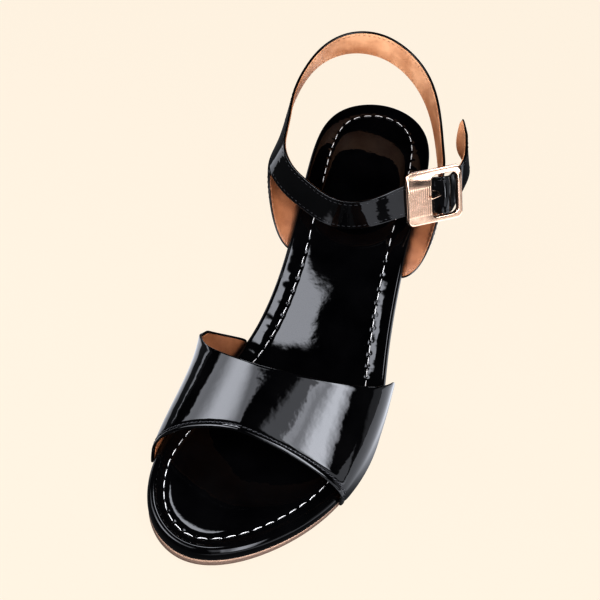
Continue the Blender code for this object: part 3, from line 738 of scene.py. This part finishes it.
def sewAlong(points, faces, path, normals, look):
    hold = stitchForm["hold"]
    path = [Vector(p) for p in path]
    lengths = [0.0]
    for a, b in zip(path, path[1:]):
        lengths.append(lengths[-1] + (b - a).length)
    count = max(1, round(lengths[-1] / look["pitch"]))
    flat = np.array([tuple(p) for p in path])
    lean = np.array([tuple(n) for n in normals])
    for s in (np.arange(count) + 0.5) * lengths[-1] / count:
        jitter = look["pitch"] * stitchForm["uneven"] * (random.random() - 0.5)
        here, back, ahead = (Vector([np.interp(s + jitter + d, lengths, flat[:, k]) for k in range(3)])
                             for d in (0.0, -look["length"] * hold, look["length"] * hold))
        normal = Vector([np.interp(s, lengths, lean[:, k]) for k in range(3)]).normalized()
        addStitch(points, faces, here, (ahead - back).normalized(), normal, look)


def makeFootbed():
    p = padSizes
    pad = soleSolid("footbed_pad", p["steps"], p["profile"], p["under"], p["crown"], padRelief(), padDraw())
    fitPiece(pad, "footbed", bedPatent)

    line, reach, count = stitchLine()
    line = np.vstack((line, line[:1]))
    points, faces = [], []
    for k in range(count):
        s = (k + 0.5) * reach[-1] / count + p["stitchUneven"] * (random.random() - 0.5)
        spots = [[np.interp((s + d) % reach[-1], reach, line[:, axis]) for axis in (0, 1)]
                 for d in (-p["stitchSpan"], 0.0, p["stitchSpan"])]
        behind, here, ahead = (solePoint(*spot, p["stitchLift"]) for spot in spots)
        normal = (solePoint(*spots[1], p["overStitch"]) - here).normalized()
        along = (ahead - behind).normalized()
        skew = normal.cross(along) * (p["stitchSkew"] * (random.random() - 0.5))
        addStitch(points, faces, here, (along + skew).normalized(), normal, p["stitch"])
    fitSolid("footbed_stitches", "footbed", "patent", whiteThread, points, faces)


# Heel block and top piece
heelSizes = {
    "seat": {"back": 0.0018, "breast": 0.0567, "halfWidth": 0.0244, "breastHalfWidth": 0.0223, "shift": 0.0},
    "corner": 0.0022, "roundness": 2.3, "widestAt": 0.62, "steps": 56, "cornerSteps": 8,
    "levels": 26, "bottomEdge": 0.0006, "bottomRound": 0.8, "capShares": (0.3, 0.8),
}


def heelOutline(size, inset=0.0):
    h = heelSizes
    corner, power = h["corner"], 2 / h["roundness"]
    widest = size["back"] + (size["breast"] - size["back"]) * h["widestAt"]
    points = []
    for k in range(h["steps"] + 1):
        turn = math.radians(-90 + 180 * k / h["steps"])
        side = math.copysign(abs(math.sin(turn)) ** power, math.sin(turn))
        back = abs(math.cos(turn)) ** power
        points.append(Vector((size["shift"] + size["halfWidth"] * side,
                              widest - (widest - size["back"]) * back)))
    for side in (1.0, -1.0):
        edge = size["shift"] + side * size["breastHalfWidth"]
        turns = [math.radians(90 * k / (h["cornerSteps"] - 1)) for k in range(h["cornerSteps"])]
        rounding = [Vector((edge - side * corner * (1 - math.cos(turn)),
                            size["breast"] - corner * (1 - math.sin(turn)))) for turn in turns]
        points += rounding if side > 0 else rounding[::-1]
    if inset:
        centre = Vector((size["shift"], (size["back"] + size["breast"]) / 2))
        points = [p + (centre - p).normalized() * inset for p in points]
    return points


def drawnIn(ring, share):
    middle = sum(ring, ring[0] * 0.0) / len(ring)
    return [middle + (p - middle) * share for p in ring]


def throughRings(rings):
    return [p for ring in rings for p in ring], ringFaces(len(rings), len(rings[0]))


def makeHeel():
    h, seat, foot = heelSizes, heelSizes["seat"], {k: topLift[k] for k in heelSizes["seat"]}
    bottom = topLift["thickness"] + lastSizes["gap"]
    # share of the way up, inset and lift: the lower edge is eased
    levels = [(0.0, h["bottomEdge"], 0.0), (0.0, 0.0, h["bottomEdge"] * h["bottomRound"])]
    levels += [(i / h["levels"], 0.0, 0.0) for i in range(1, h["levels"] + 1)]
    rings = []
    for t, inset, lift in levels:
        size = {k: foot[k] + (seat[k] - foot[k]) * t for k in foot}
        ring = []
        for p in heelOutline(size, inset):
            top = soleHeight(p.y) - lastSizes["gap"]
            ring.append(shoeOrigin + Vector((p.x, -p.y, bottom + (top - bottom) * t + lift)))
        rings.append(ring)
    lower = [drawnIn(rings[0], share) for share in h["capShares"]]
    upper = [drawnIn(rings[-1], share) for share in h["capShares"][::-1]]
    fitSolid("heel_wrap", "heel_block", "patent", heelPatent, *throughRings(lower + rings + upper))

    # top piece with eased edges
    thick, edge = topLift["thickness"], topLift["edge"]
    middle = drawnIn(heelOutline(foot), topLift["middle"])
    plans = [(middle, 0.0)]
    plans += [(heelOutline(foot, inset), z) for inset, z in (
        (edge, 0.0), (0.0, edge), (0.0, thick / 2), (0.0, thick - edge), (edge, thick))]
    plans.append((middle, thick))
    rings = [[shoeOrigin + Vector((p.x, -p.y, z)) for p in plan] for plan, z in plans]
    fitSolid("heel_top_piece", "top_piece", "heel_rubber", tanRubber, *throughRings(rings))


bandSizes = {
    "back": {"station": 0.150, "widest": 0.0180, "bulge": 0.0080, "medialRound": 1.56, "lateralRound": 3.05},
    "front": {"station": 0.200, "widest": 0.0, "bulge": 0.0004, "medialRound": 1.55, "lateralRound": 1.26},
    "bulgeFade": 3.45, "lateralBulge": 0.0006, "hemTurn": 120.0, "hemOut": 0.0014,
    "crestStation": 0.170, "crestHeight": 0.0482, "crestFall": 0.562, "crestShift": -0.0135,
    "backRim": {"crest": 0.1708, "medial": 0.1232, "lateral": 0.1286, "sweep": 1.97},
    "frontRim": {"crest": 0.1949, "medial": 0.2032, "lateral": 0.1961, "sweep": 3.26},
    "patent": 0.0010, "lining": 0.00048, "under": 0.00002, "liningInset": 0.0010, "liningFront": 0.0011,
    "cornerFrom": 0.82, "backCorner": 0.0036, "frontCorner": (0.0042, 0.0024),    # medial, lateral
    # ridges along the rims: height, distance from the rim, reach
    "frontRidges": ((0.00022, 0.0011, 0.0009), (-0.00026, 0.0024, 0.0007)),
    "backRidges": ((0.00012, 0.0012, 0.0010),),
    "waves": ((0.00022, 0.026, 4.4), (0.00007, 0.011, 7.7)),
    "across": 96, "middleSteps": 15, "backSteps": (0.0, 0.0006, 0.0012, 0.0020, 0.0030),
    "frontSteps": (0.0060, 0.0046, 0.0037, 0.0031, 0.0027, 0.0024, 0.0021, 0.0017, 0.0012, 0.0006, 0.0),
    "stitchColumn": -6, "stitchLift": 0.0001,
    "stitch": {"pitch": 0.0021, "length": 0.0021, "thick": 0.00055, "rise": 0.00016, "sink": 0.00010,
               "slant": 0.00022},
}


def bandPoint(station, turn):
    # turn: -1 at the medial hem, 0 on the crest, 1 at the lateral hem
    s, b, f = bandSizes, bandSizes["back"], bandSizes["front"]
    t = clamp((station - b["station"]) / (f["station"] - b["station"]))
    side = -1.0 if turn < 0 else 1.0
    hemX = outlineSides(station)[turn >= 0] + side * s["hemOut"]
    bulge = s["lateralBulge"] * (1 - t)
    if side < 0:
        bulge = b["bulge"] * (1 - t) ** s["bulgeFade"] + f["bulge"] * t
    widestX = hemX + side * bulge
    key = "medialRound" if side < 0 else "lateralRound"
    power = 2 / (b[key] + (f[key] - b[key]) * t)
    bedTop = soleHeight(station) + lastSizes["soleWall"] + lastSizes["gap"] + lastSizes["bedWall"]
    widestZ = bedTop + b["widest"] + (f["widest"] - b["widest"]) * t
    crestZ = s["crestHeight"] - s["crestFall"] * (station - s["crestStation"])
    angle = abs(turn) * s["hemTurn"]
    if angle <= 90:
        out = math.sin(math.radians(angle)) ** power
        rise = max(math.cos(math.radians(angle)), 0.0) ** power
        x = s["crestShift"] + (widestX - s["crestShift"]) * out
        return shoeOrigin + Vector((x, -station, widestZ + (crestZ - widestZ) * rise))
    drop = (angle - 90) / (s["hemTurn"] - 90)
    hem = solePoint(station, hemX, lastSizes["soleWall"] + lastSizes["gap"]) - shoeOrigin
    x = widestX + (hemX - widestX) * smoothStep(drop)
    return shoeOrigin + Vector((x, -station + (hem.y + station) * drop, widestZ + (hem.z - widestZ) * drop))


def rimStation(rim, turn):
    hem = rim["medial"] if turn < 0 else rim["lateral"]
    return rim["crest"] + (hem - rim["crest"]) * abs(turn) ** rim["sweep"]


def bandSheet(trimBack=0.0, trimFront=0.0, sink=0.0, relief=True):
    # points of the band, medial hem to lateral hem, each row from the back rim to the front rim
    b = bandSizes
    rows, edges = [], []
    for i in range(b["across"] + 1):
        turn = -1 + 2 * i / b["across"]
        cut = 1 - math.sqrt(1 - clamp((abs(turn) - b["cornerFrom"]) / (1 - b["cornerFrom"])) ** 2)
        start = rimStation(b["backRim"], turn) + trimBack + b["backCorner"] * cut
        end = rimStation(b["frontRim"], turn) - trimFront - b["frontCorner"][turn > 0] * cut
        scale = (end - start) / (bandPoint(end, turn) - bandPoint(start, turn)).length
        middle = np.linspace(start + b["backSteps"][-1] * scale, end - b["frontSteps"][0] * scale,
                             b["middleSteps"])[1:-1]
        stations = [start + d * scale for d in b["backSteps"]] + list(middle)
        stations += [end - d * scale for d in b["frontSteps"]]
        rows.append([tuple(bandPoint(u, turn)) for u in stations])
        edges.append([((end - u) / scale, (u - start) / scale) for u in stations])
    grid = np.array(rows)
    normals = np.cross(np.gradient(grid, axis=1), np.gradient(grid, axis=0))
    normals /= np.maximum(np.linalg.norm(normals, axis=2), 1e-9)[..., None]
    if normals[b["across"] // 2, 5, 2] < 0:
        normals = -normals
    for i, row in enumerate(edges):
        for j, fromRims in enumerate(row):
            lift = -sink
            if relief:
                for ridges, away in zip((b["frontRidges"], b["backRidges"]), fromRims):
                    lift += sum(height * bump(away - place, reach) for height, place, reach in ridges)
                lift += waves(grid[i, j], b["waves"])
            grid[i, j] += normals[i, j] * lift
    return grid, normals


def fitSheet(name, grid, thickness, levels, finish):
    rows, columns = grid.shape[:2]
    sheet = makePiece(name, grid.reshape(-1, 3), gridFaces(rows, columns))
    if sheet.data.polygons[rows // 2 * (columns - 1)].normal.z < 0:
        sheet.data.flip_normals()
    thicken(sheet, thickness, levels)
    fitPiece(sheet, "vamp_band", finish)


def makeBand():
    b = bandSizes
    grid, normals = bandSheet()
    fitSheet("band_patent", grid, b["patent"], 2, blackPatent)
    inner, _ = bandSheet(b["liningInset"], b["liningFront"], b["patent"] + b["under"], False)
    fitSheet("band_lining", inner, b["lining"], 1, bandLining)
    # topstitch along the front rim, leaning over like a rope
    points, faces = [], []
    line, lean = (values[2:-2, b["stitchColumn"]] for values in (grid, normals))
    sewAlong(points, faces, line + lean * b["stitchLift"], lean, b["stitch"])
    fitSolid("band_stitches", "vamp_band", "patent", blackThread, points, faces)


buckleSizes = {
    "centre": (0.0347, -0.0718, 0.0710), "heading": 33.7, "lean": 21.8, "turn": 3.9,
    "length": 0.0266, "height": 0.0248, "thickness": 0.0023, "corner": 0.0032,
    "openFrom": -0.0012, "openTo": 0.0107, "openHeight": 0.0190, "openCorner": 0.0021,
    "cornerSteps": 9, "sideSteps": 14, "edge": 0.0003, "ease": 0.0001, "dome": 0.00105, "lip": 0.0008,
    "sharpFrom": 50,
    "shoulder": 0.0060, "shoulderRun": 0.0064, "shoulderDrop": 0.0015,    # the upper side slopes back
    "bar": 0.0009, "barAlong": 0.0043, "barOut": -0.0019, "gap": 0.0003,
    "lug": (0.0034, 0.0016, 0.0022), "lugClear": 0.0002, "lugOut": 0.0002, "lugSoft": 0.0004,
    "prong": 0.0006, "prongRise": 20.5, "prongTip": -0.0028, "hookTurn": 250, "hookSteps": 32,
    "shankSteps": 12, "prongStart": 0.55, "prongEnd": (0.98, 0.9, 0.72, 0.35),
    "ribs": 11, "ribFrom": -0.0126, "ribTo": -0.0016, "ribLow": -0.0086, "ribHigh": 0.0056,
    "ribRadius": 0.58, "ribSunk": 0.00042, "ribSteps": 14, "ribCrowd": 1.6, "ribTip": 0.8,
}


def buckleAxes():
    b = buckleSizes
    heading, lean = math.radians(b["heading"]), math.radians(b["lean"])
    along = Vector((math.cos(heading), math.sin(heading), 0.0))
    level = Vector((math.sin(heading), -math.cos(heading), 0.0))
    up = Vector((0.0, 0.0, math.cos(lean))) - level * math.sin(lean)
    axes = Matrix((along, up, along.cross(up))).transposed().to_4x4()
    return Matrix.Translation(shoeOrigin + Vector(b["centre"])) @ (
        axes @ Matrix.Rotation(math.radians(b["turn"]), 4, "Z"))


def roundedRing(start, end, height, corner, grow):
    # rounded rectangle, grown outwards or shrunk, with matching points on every ring
    steps, sideSteps = buckleSizes["cornerSteps"], buckleSizes["sideSteps"]
    start, end, half, corner = start - grow, end + grow, height / 2 + grow, max(corner + grow, 0.0002)
    arcs = []
    for x, y, first in ((end - corner, half - corner, 0.0), (start + corner, half - corner, 90.0),
                        (start + corner, corner - half, 180.0), (end - corner, corner - half, 270.0)):
        turns = [math.radians(first + 90 * k / steps) for k in range(steps + 1)]
        arcs.append([(x + corner * math.cos(a), y + corner * math.sin(a)) for a in turns])
    points = []
    for arc, after in zip(arcs, arcs[1:] + arcs[:1]):
        (x, y), (nextX, nextY) = arc[-1], after[0]
        points += arc
        for k in range(1, sideSteps):
            t = k / sideSteps
            points.append((x + (nextX - x) * t, y + (nextY - y) * t))
    return points


def tube(points, faces, path, radii, sides):
    first = len(points)
    side = None
    for i, p in enumerate(path):
        ahead = (path[min(i + 1, len(path) - 1)] - path[max(i - 1, 0)]).normalized()
        if side is None:
            side = ahead.orthogonal().normalized()
        side = (side - ahead * side.dot(ahead)).normalized()
        other = ahead.cross(side)
        for k in range(sides):
            a = math.tau * k / sides
            points.append(p + (side * math.cos(a) + other * math.sin(a)) * radii[i])
    faces += ringFaces(len(path), sides, first)


def pillow(points, faces, centre, size, soft):
    # small block with rounded edges
    first = len(points)
    shape = bmesh.new()
    bmesh.ops.create_cube(shape, size=1.0, matrix=Matrix.Translation(centre) @ Matrix.Diagonal((*size, 1.0)))
    bmesh.ops.bevel(shape, geom=list(shape.edges), offset=soft, segments=3, profile=0.5, affect="EDGES")
    shape.verts.index_update()
    points += [v.co.copy() for v in shape.verts]
    faces += [tuple(first + v.index for v in face.verts) for face in shape.faces]
    shape.free()


def addFrame(points, faces):
    # a domed band round the opening, its face wide enough on one side to be a plate
    b = buckleSizes
    half, edge, ease = b["thickness"] / 2, b["edge"], b["ease"]
    outer = (-b["length"] / 2, b["length"] / 2, b["height"], b["corner"])
    inner = (b["openFrom"], b["openTo"], b["openHeight"], b["openCorner"])
    profile = [(outer, -edge, -half), (outer, -ease, -half + ease), (outer, 0.0, -half + edge),
               (outer, 0.0, 0.0)]
    for k in range(1, 9):
        turn = math.radians(90 * k / 8)
        profile.append((outer, -b["dome"] * (1 - math.cos(turn)), ease + (half - ease) * math.sin(turn)))
    for k in range(7):
        turn = math.radians(90 - 90 * k / 6)
        profile.append((inner, b["lip"] * (1 - math.cos(turn)), half - b["lip"] + b["lip"] * math.sin(turn)))
    profile += [(inner, 0.0, -half + edge), (inner, ease, -half + ease), (inner, edge, -half)]
    for outline, grow, z in profile:
        for x, y in roundedRing(*outline, grow):
            slope = b["shoulderDrop"] * clamp((y - b["shoulder"]) / b["shoulderRun"]) ** 2
            points.append(Vector((x, y, z - slope * clamp(z / half))))
    faces += gridFaces(len(profile), len(points) // len(profile), closeRows=True, closeColumns=True)


def addRibs(points, faces):
    # ribs with rounded ends on the plate
    b = buckleSizes
    pitch = (b["ribTo"] - b["ribFrom"]) / b["ribs"]
    half, middle = (b["ribHigh"] - b["ribLow"]) / 2, (b["ribHigh"] + b["ribLow"]) / 2
    for n in range(b["ribs"]):
        x = b["ribFrom"] + pitch * (n + 0.5)
        path, radii = [], []
        for k in range(b["ribSteps"] + 1):
            t = -1 + 2 * k / b["ribSteps"]
            y = math.copysign(1 - (1 - abs(t)) ** b["ribCrowd"], t) * half
            left = clamp((half - abs(y)) / (pitch * b["ribTip"]))
            path.append(Vector((x, y + middle, b["thickness"] / 2 - b["ribSunk"])))
            radii.append(pitch * b["ribRadius"] * math.sqrt(clamp(1 - (1 - left) ** 2, 0.02, 1.0)))
        tube(points, faces, path, radii, 10)


def makeBuckle():
    b, axes = buckleSizes, buckleAxes()
    points, faces = [], []
    addFrame(points, faces)
    addRibs(points, faces)
    # centre bar between two lugs
    arm = b["openHeight"] / 2 + b["lugClear"] + b["lug"][1] / 2
    for side in (1.0, -1.0):
        place = Vector((b["barAlong"], side * arm, b["barOut"] + b["lugOut"]))
        pillow(points, faces, place, b["lug"], b["lugSoft"])
    bar = [Vector((b["barAlong"], arm * t, b["barOut"])) for t in np.linspace(-1, 1, 9)]
    tube(points, faces, bar, [b["bar"]] * len(bar), 18)
    placed = [axes @ p for p in points]
    ring = fitSolid("buckle_ring", "buckle_frame", "rose_gold", roseGold, placed, faces)
    ring.data.set_sharp_from_angle(angle=math.radians(b["sharpFrom"]))

    # prong: a hook round the bar and a shank with a tapered tip
    radius = b["bar"] + b["gap"] + b["prong"]
    leave = 90.0 - b["prongRise"]
    path = []
    for k in range(b["hookSteps"] + 1):
        turn = math.radians(leave - b["hookTurn"] + b["hookTurn"] * k / b["hookSteps"])
        path.append(Vector((b["barAlong"] + radius * math.cos(turn), 0.0,
                            b["barOut"] + radius * math.sin(turn))))
    top = path[-1]
    run, rise = top.x - b["prongTip"], math.tan(math.radians(b["prongRise"]))
    for k in range(1, b["shankSteps"] + 1):
        gone = run * k / b["shankSteps"]
        path.append(Vector((top.x - gone, 0.0, top.z + gone * rise)))
    plain = len(path) - 1 - len(b["prongEnd"])
    radii = [b["prong"] * share for share in (b["prongStart"], *[1.0] * plain, *b["prongEnd"])]
    points, faces = [], []
    tube(points, faces, path, radii, 16)
    fitSolid("buckle_pin", "buckle_prong", "rose_gold", roseGold, [axes @ p for p in points], faces)


# Quarters and ankle strap
strapSizes = {
    "width": 0.014, "steps": 5, "tailPoint": 0.0150, "tipWidth": 0.0012, "tipRound": 0.6,
    "fromBar": 0.0017,
    "patent": 0.0010, "lining": 0.00048, "under": 0.00002, "liningInset": 0.0006, "levels": 2,
    "across": (1.0, 0.92, 0.84, 0.77, 0.70, 0.60, 0.42, 0.20),    # finer at the folded edge
    # the strap swells and creases where it passes over the bar, at this point of "through"
    "bend": 5, "swell": 0.0017, "swellReach": 0.012, "crease": 0.00020, "creaseLength": 0.0150,
    "creaseLean": 0.9, "creaseReach": 14, "creaseStep": 0.0007, "creaseStart": 0.6,
    "seamInset": 0.0016, "seamEnds": (2, -4),
    "outerSeam": (-0.00002, {"pitch": 0.0024, "length": 0.0018, "thick": 0.00026, "rise": 0.0,
                             "sink": 0.00022}),
    "innerSeam": (0.0015, {"pitch": 0.0024, "length": 0.0017, "thick": 0.00034, "rise": 0.00006,
                           "sink": 0.00016}),
    # outer face along its middle, and how far its lower edge stands out in degrees, round the heel
    "loop": ((0.0367, -0.0580, 0.0706, 7.0), (0.0342, -0.0474, 0.0715, 5.0), (0.0267, -0.0304, 0.0817, 3.0),
             (0.0158, -0.0150, 0.0897, 4.0), (-0.0030, -0.0046, 0.0957, 11.0),
             (-0.0148, -0.0042, 0.0966, 14.0), (-0.0261, -0.0084, 0.0952, 15.5),
             (-0.0351, -0.0163, 0.0906, 15.0), (-0.0401, -0.0266, 0.0836, 11.0),
             (-0.0419, -0.0374, 0.0758, 8.0), (-0.0414, -0.0474, 0.0697, 13.5),
             (-0.0409, -0.0575, 0.0670, 22.0), (-0.0384, -0.0679, 0.0663, 25.0),
             (-0.0309, -0.0755, 0.0628, 17.5), (-0.0216, -0.0800, 0.0602, 13.0),
             (-0.0032, -0.0877, 0.0605, 10.0), (0.0120, -0.0845, 0.0645, 15.0)),
    # through the buckle, from the frame's centre: along it, up it, out of it
    "through": ((-0.0124, -0.0004, -0.0017), (-0.0068, -0.0003, -0.0016), (-0.0018, -0.0003, -0.0017),
                (0.0014, -0.0002, 0.0), (0.0044, -0.0001, 0.0021), (0.0076, -0.0004, 0.0008),
                (0.0104, -0.0002, -0.0021)),
    "tail": ((0.0446, -0.0590, 0.0745, 12.0), (0.0435, -0.0459, 0.0797, 10.0),
             (0.0406, -0.0411, 0.0806, -9.5), (0.0379, -0.0357, 0.0881, -18.0)),
}
quarterSizes = {
    "medial": {"side": -1.0, "hemBack": 0.056, "hemFront": 0.0850, "strapBack": -0.0430,
               "strapFront": -0.0680, "hemRun": 0.0115, "strapRun": 0.0035},
    "lateral": {"side": 1.0, "hemBack": 0.054, "hemFront": 0.0850, "strapBack": -0.0440,
                "strapFront": -0.0600, "hemRun": 0.0125, "strapRun": 0.0150},
    "rise": 20.0, "hemOut": -0.0007, "rows": 22, "cornerReach": 0.0040, "cornerRounds": 7,
    "beyond": 0.02,    # the quarters join the strap only this far out from the centre line
}


def leaningDown(heading, lean):
    outward = Vector((heading.y, -heading.x, 0.0)).normalized()
    return outward * math.sin(math.radians(lean)) - Vector((0.0, 0.0, math.cos(math.radians(lean))))


def strapStations():
    # middle of the outer face, direction down the width and half width, all along the strap
    s, b, axes = strapSizes, buckleSizes, buckleAxes()
    buckleDown = -(axes.to_3x3() @ Vector((0.0, 1.0, 0.0)))
    bar = axes @ Vector((b["barAlong"], 0.0, b["barOut"]))
    loop, tail = ([(shoeOrigin + Vector(v[:3]), v[3]) for v in s[part]] for part in ("loop", "tail"))
    start = bar + (loop[0][0] - bar).normalized() * s["fromBar"]
    spots = [(start, None), *loop, *((axes @ Vector(v), None) for v in s["through"]), *tail]
    rows = []
    for k, (middle, lean) in enumerate(spots):
        heading = spots[min(k + 1, len(spots) - 1)][0] - spots[k - 1][0]
        rows.append((*middle, *(buckleDown if lean is None else leaningDown(heading, lean))))
    rows = np.array(rows)
    reach = runLengths(rows[:, :3])
    places = []
    for near, far in zip(reach, reach[1:]):
        places += list(np.linspace(near, far, s["steps"], endpoint=False))
    places.append(reach[-1])
    stations = []
    for at, values in zip(places, naturalSpline(reach, rows, places)):
        left = reach[-1] - at
        half = s["width"] / 2 + s["swell"] * bump(at - reach[len(loop) + s["bend"]], s["swellReach"])
        if left < s["tailPoint"]:
            half = max(half * (left / s["tailPoint"]) ** s["tipRound"], s["tipWidth"] / 2)
        stations.append((Vector(values[:3]), Vector(values[3:]).normalized(), half))
    return stations


def outwardAt(stations, k):
    ahead = stations[min(k + 1, len(stations) - 1)][0] - stations[max(k - 1, 0)][0]
    return stations[k][1].cross(ahead).normalized()


def quarterCurve(size, hem, corner, down):
    rise = math.radians(quarterSizes["rise"])
    hemEnd = hem + Vector((size["side"] * math.cos(rise), 0.0, math.sin(rise))) * size["hemRun"]
    strapEnd = corner + down * size["strapRun"]
    points = []
    for i in range(1, quarterSizes["rows"] + 1):
        t = i / quarterSizes["rows"]
        s = 1 - t
        points.append(corner * s ** 3 + strapEnd * 3 * s * s * t + hemEnd * 3 * s * t * t + hem * t ** 3)
    return points


def quarterColumns(stations, size):
    loop = stations[:strapSizes["steps"] * len(strapSizes["loop"])]
    found = [k for k, (middle, _, _) in enumerate(loop)
             if size["side"] * (middle - shoeOrigin).x > quarterSizes["beyond"]
             and size["strapFront"] <= (middle - shoeOrigin).y <= size["strapBack"]]
    return sorted(found, key=lambda k: -stations[k][0].y)


def ankleSheet(stations):
    # strap and quarters as one open sheet on the outer face; also each quarter's stations and points
    s = strapSizes
    spread = [-v for v in s["across"]] + [0.0] + list(reversed(s["across"]))
    count = len(spread)
    points, quarters = [], {}
    creased = s["steps"] * (len(s["loop"]) + s["bend"])
    for k, (middle, down, half) in enumerate(stations):
        normal = outwardAt(stations, k)
        depth = s["crease"] * bump(k - creased, s["creaseReach"])
        along = (k - creased) * s["creaseStep"]
        for v in spread:
            turn = (along + s["creaseLean"] * half * v) / s["creaseLength"]
            fold = depth * math.sin(2 * math.pi * turn + s["creaseStart"])
            points.append(middle + down * (half * v) + normal * fold)
    faces = gridFaces(len(stations), count)
    for name in ("medial", "lateral"):
        size = quarterSizes[name]
        columns = quarterColumns(stations, size)
        grid = []
        for n, k in enumerate(columns):
            t = n / (len(columns) - 1)
            station = size["hemBack"] + (size["hemFront"] - size["hemBack"]) * t
            edge = outlineSides(station)[size["side"] > 0] + size["side"] * quarterSizes["hemOut"]
            hem = solePoint(station, edge, lastSizes["soleWall"] + lastSizes["gap"])
            middle, down, half = stations[k]
            first = len(points)
            points += quarterCurve(size, hem, middle + down * half, down)
            grid.append([count * k + count - 1, *range(first, len(points))])
        for one, other in zip(grid, grid[1:]):
            faces += list(zip(one, one[1:], other[1:], other))
        quarters[name] = (columns, grid)
    return points, faces, quarters


def moveEdge(shape, placeOf):
    # points on the sheet's open edge go to their new places, all at once
    moved = [(vert, placeOf(vert)) for vert in shape.verts if vert.is_boundary]
    for vert, place in moved:
        vert.co = place


def relaxCorners(shape, corners):
    # re-entrant corners of the sheet become soft curves
    reach = quarterSizes["cornerReach"]

    def relaxed(vert):
        near = min((vert.co - c).length for c in corners)
        around = [e.other_vert(vert).co for e in vert.link_edges if e.is_boundary]
        if near > reach or len(around) != 2:
            return vert.co.copy()
        return vert.co.lerp((around[0] + around[1]) / 2, 0.5 * smoothStep(2 * (1 - near / reach)))

    for _ in range(quarterSizes["cornerRounds"]):
        moveEdge(shape, relaxed)


def trimSheet(shape, amount):
    def trimmed(vert):
        inner = [e.other_vert(vert).co - vert.co for e in vert.link_edges if not e.is_boundary]
        if not inner:
            inner = [f.calc_center_median() - vert.co for f in vert.link_faces]
        pull = sum((v.normalized() for v in inner), Vector()).normalized()
        return vert.co + pull * min(amount, 0.8 * max(v.length for v in inner))

    moveEdge(shape, trimmed)


def ankleShell(name, sheet, trim, sink, thickness, levels, finish):
    points, faces, quarters = sheet
    piece = makePiece(name, points, faces)
    shape = bmesh.new()
    shape.from_mesh(piece.data)
    bmesh.ops.recalc_face_normals(shape, faces=shape.faces)
    back = max(shape.faces, key=lambda face: face.calc_center_median().y)
    if back.normal.y < 0:
        bmesh.ops.reverse_faces(shape, faces=shape.faces)
    relaxCorners(shape, [points[grid[end][0]] for _, grid in quarters.values() for end in (0, -1)])
    if trim:
        trimSheet(shape, trim)
    shape.normal_update()
    if sink:
        for vert in shape.verts:
            vert.co -= vert.normal * sink
    shape.to_mesh(piece.data)
    shape.free()
    thicken(piece, thickness, levels)
    fitPiece(piece, "ankle_upper", finish)


def strapLine(stations, part, inset):
    # a line along the outer face, inset from its lower edge, or from its upper one where that is negative
    path = []
    for k in part:
        middle, down, half = stations[k]
        path.append(middle + down * math.copysign(half - abs(inset), inset))
    return path, [outwardAt(stations, k) for k in part]


def quarterLine(points, side, edge, beside):
    # a line beside one edge of a quarter; edge and beside are its two outermost columns
    path, lean = [], []
    for i in range(1, len(edge) - 2):
        here, within = points[edge[i]], points[beside[i]]
        normal = (within - here).cross(points[edge[i + 1]] - points[edge[i - 1]]).normalized()
        path.append(here + (within - here).normalized() * strapSizes["seamInset"])
        lean.append(-normal if normal.x * side < 0 else normal)
    return path, lean


def makeAnkle():
    s = strapSizes
    stations = strapStations()
    sheet = ankleSheet(stations)
    ankleShell("ankle_patent", sheet, 0.0, 0.0, s["patent"], s["levels"], blackPatent)
    ankleShell("ankle_lining", sheet, s["liningInset"], s["patent"] + s["under"], s["lining"], 1, tanLining)

    outer, inner = ([], [], *s["outerSeam"]), ([], [], *s["innerSeam"])

    def sew(seam, path, lean):
        # the inner seam lies on the lining, facing the other way
        points, faces, depth, look = seam
        facing = lean if depth < 0 else [-n for n in lean]
        sewAlong(points, faces, [p - n * depth for p, n in zip(path, lean)], facing, look)

    # along both edges of the strap; the lower seam stops at the quarters
    first, last = s["seamEnds"][0], len(stations) + s["seamEnds"][1]
    points, _, quarters = sheet
    cuts = sorted((min(columns), max(columns)) for columns, _ in quarters.values())
    starts, ends = [first, *(high + 1 for _, high in cuts)], [*(low for low, _ in cuts), last]
    runs = [range(a, b) for a, b in zip(starts, ends) if b - a > 3]
    for seam in (outer, inner):
        sew(seam, *strapLine(stations, range(first, last), -s["seamInset"]))
        for run in runs:
            sew(seam, *strapLine(stations, run, s["seamInset"]))
    # down the front and back edges of both quarters
    for name, (_, grid) in quarters.items():
        for edge, beside in ((0, 1), (-1, -2)):
            path, lean = quarterLine(points, quarterSizes[name]["side"], grid[edge], grid[beside])
            for seam in (outer, inner):
                sew(seam, path, lean)
    fitSolid("ankle_stitches", "ankle_upper", "patent", blackThread, *outer[:2])
    fitSolid("lining_stitches", "ankle_upper", "patent", tanThread, *inner[:2])


makeOutsole()
makeFootbed()
print("sole and footbed ready")
makeHeel()
print("heel ready")
makeBand()
print("band over the toes ready")
makeBuckle()
print("buckle ready")
makeAnkle()
print("ankle strap and quarters ready")
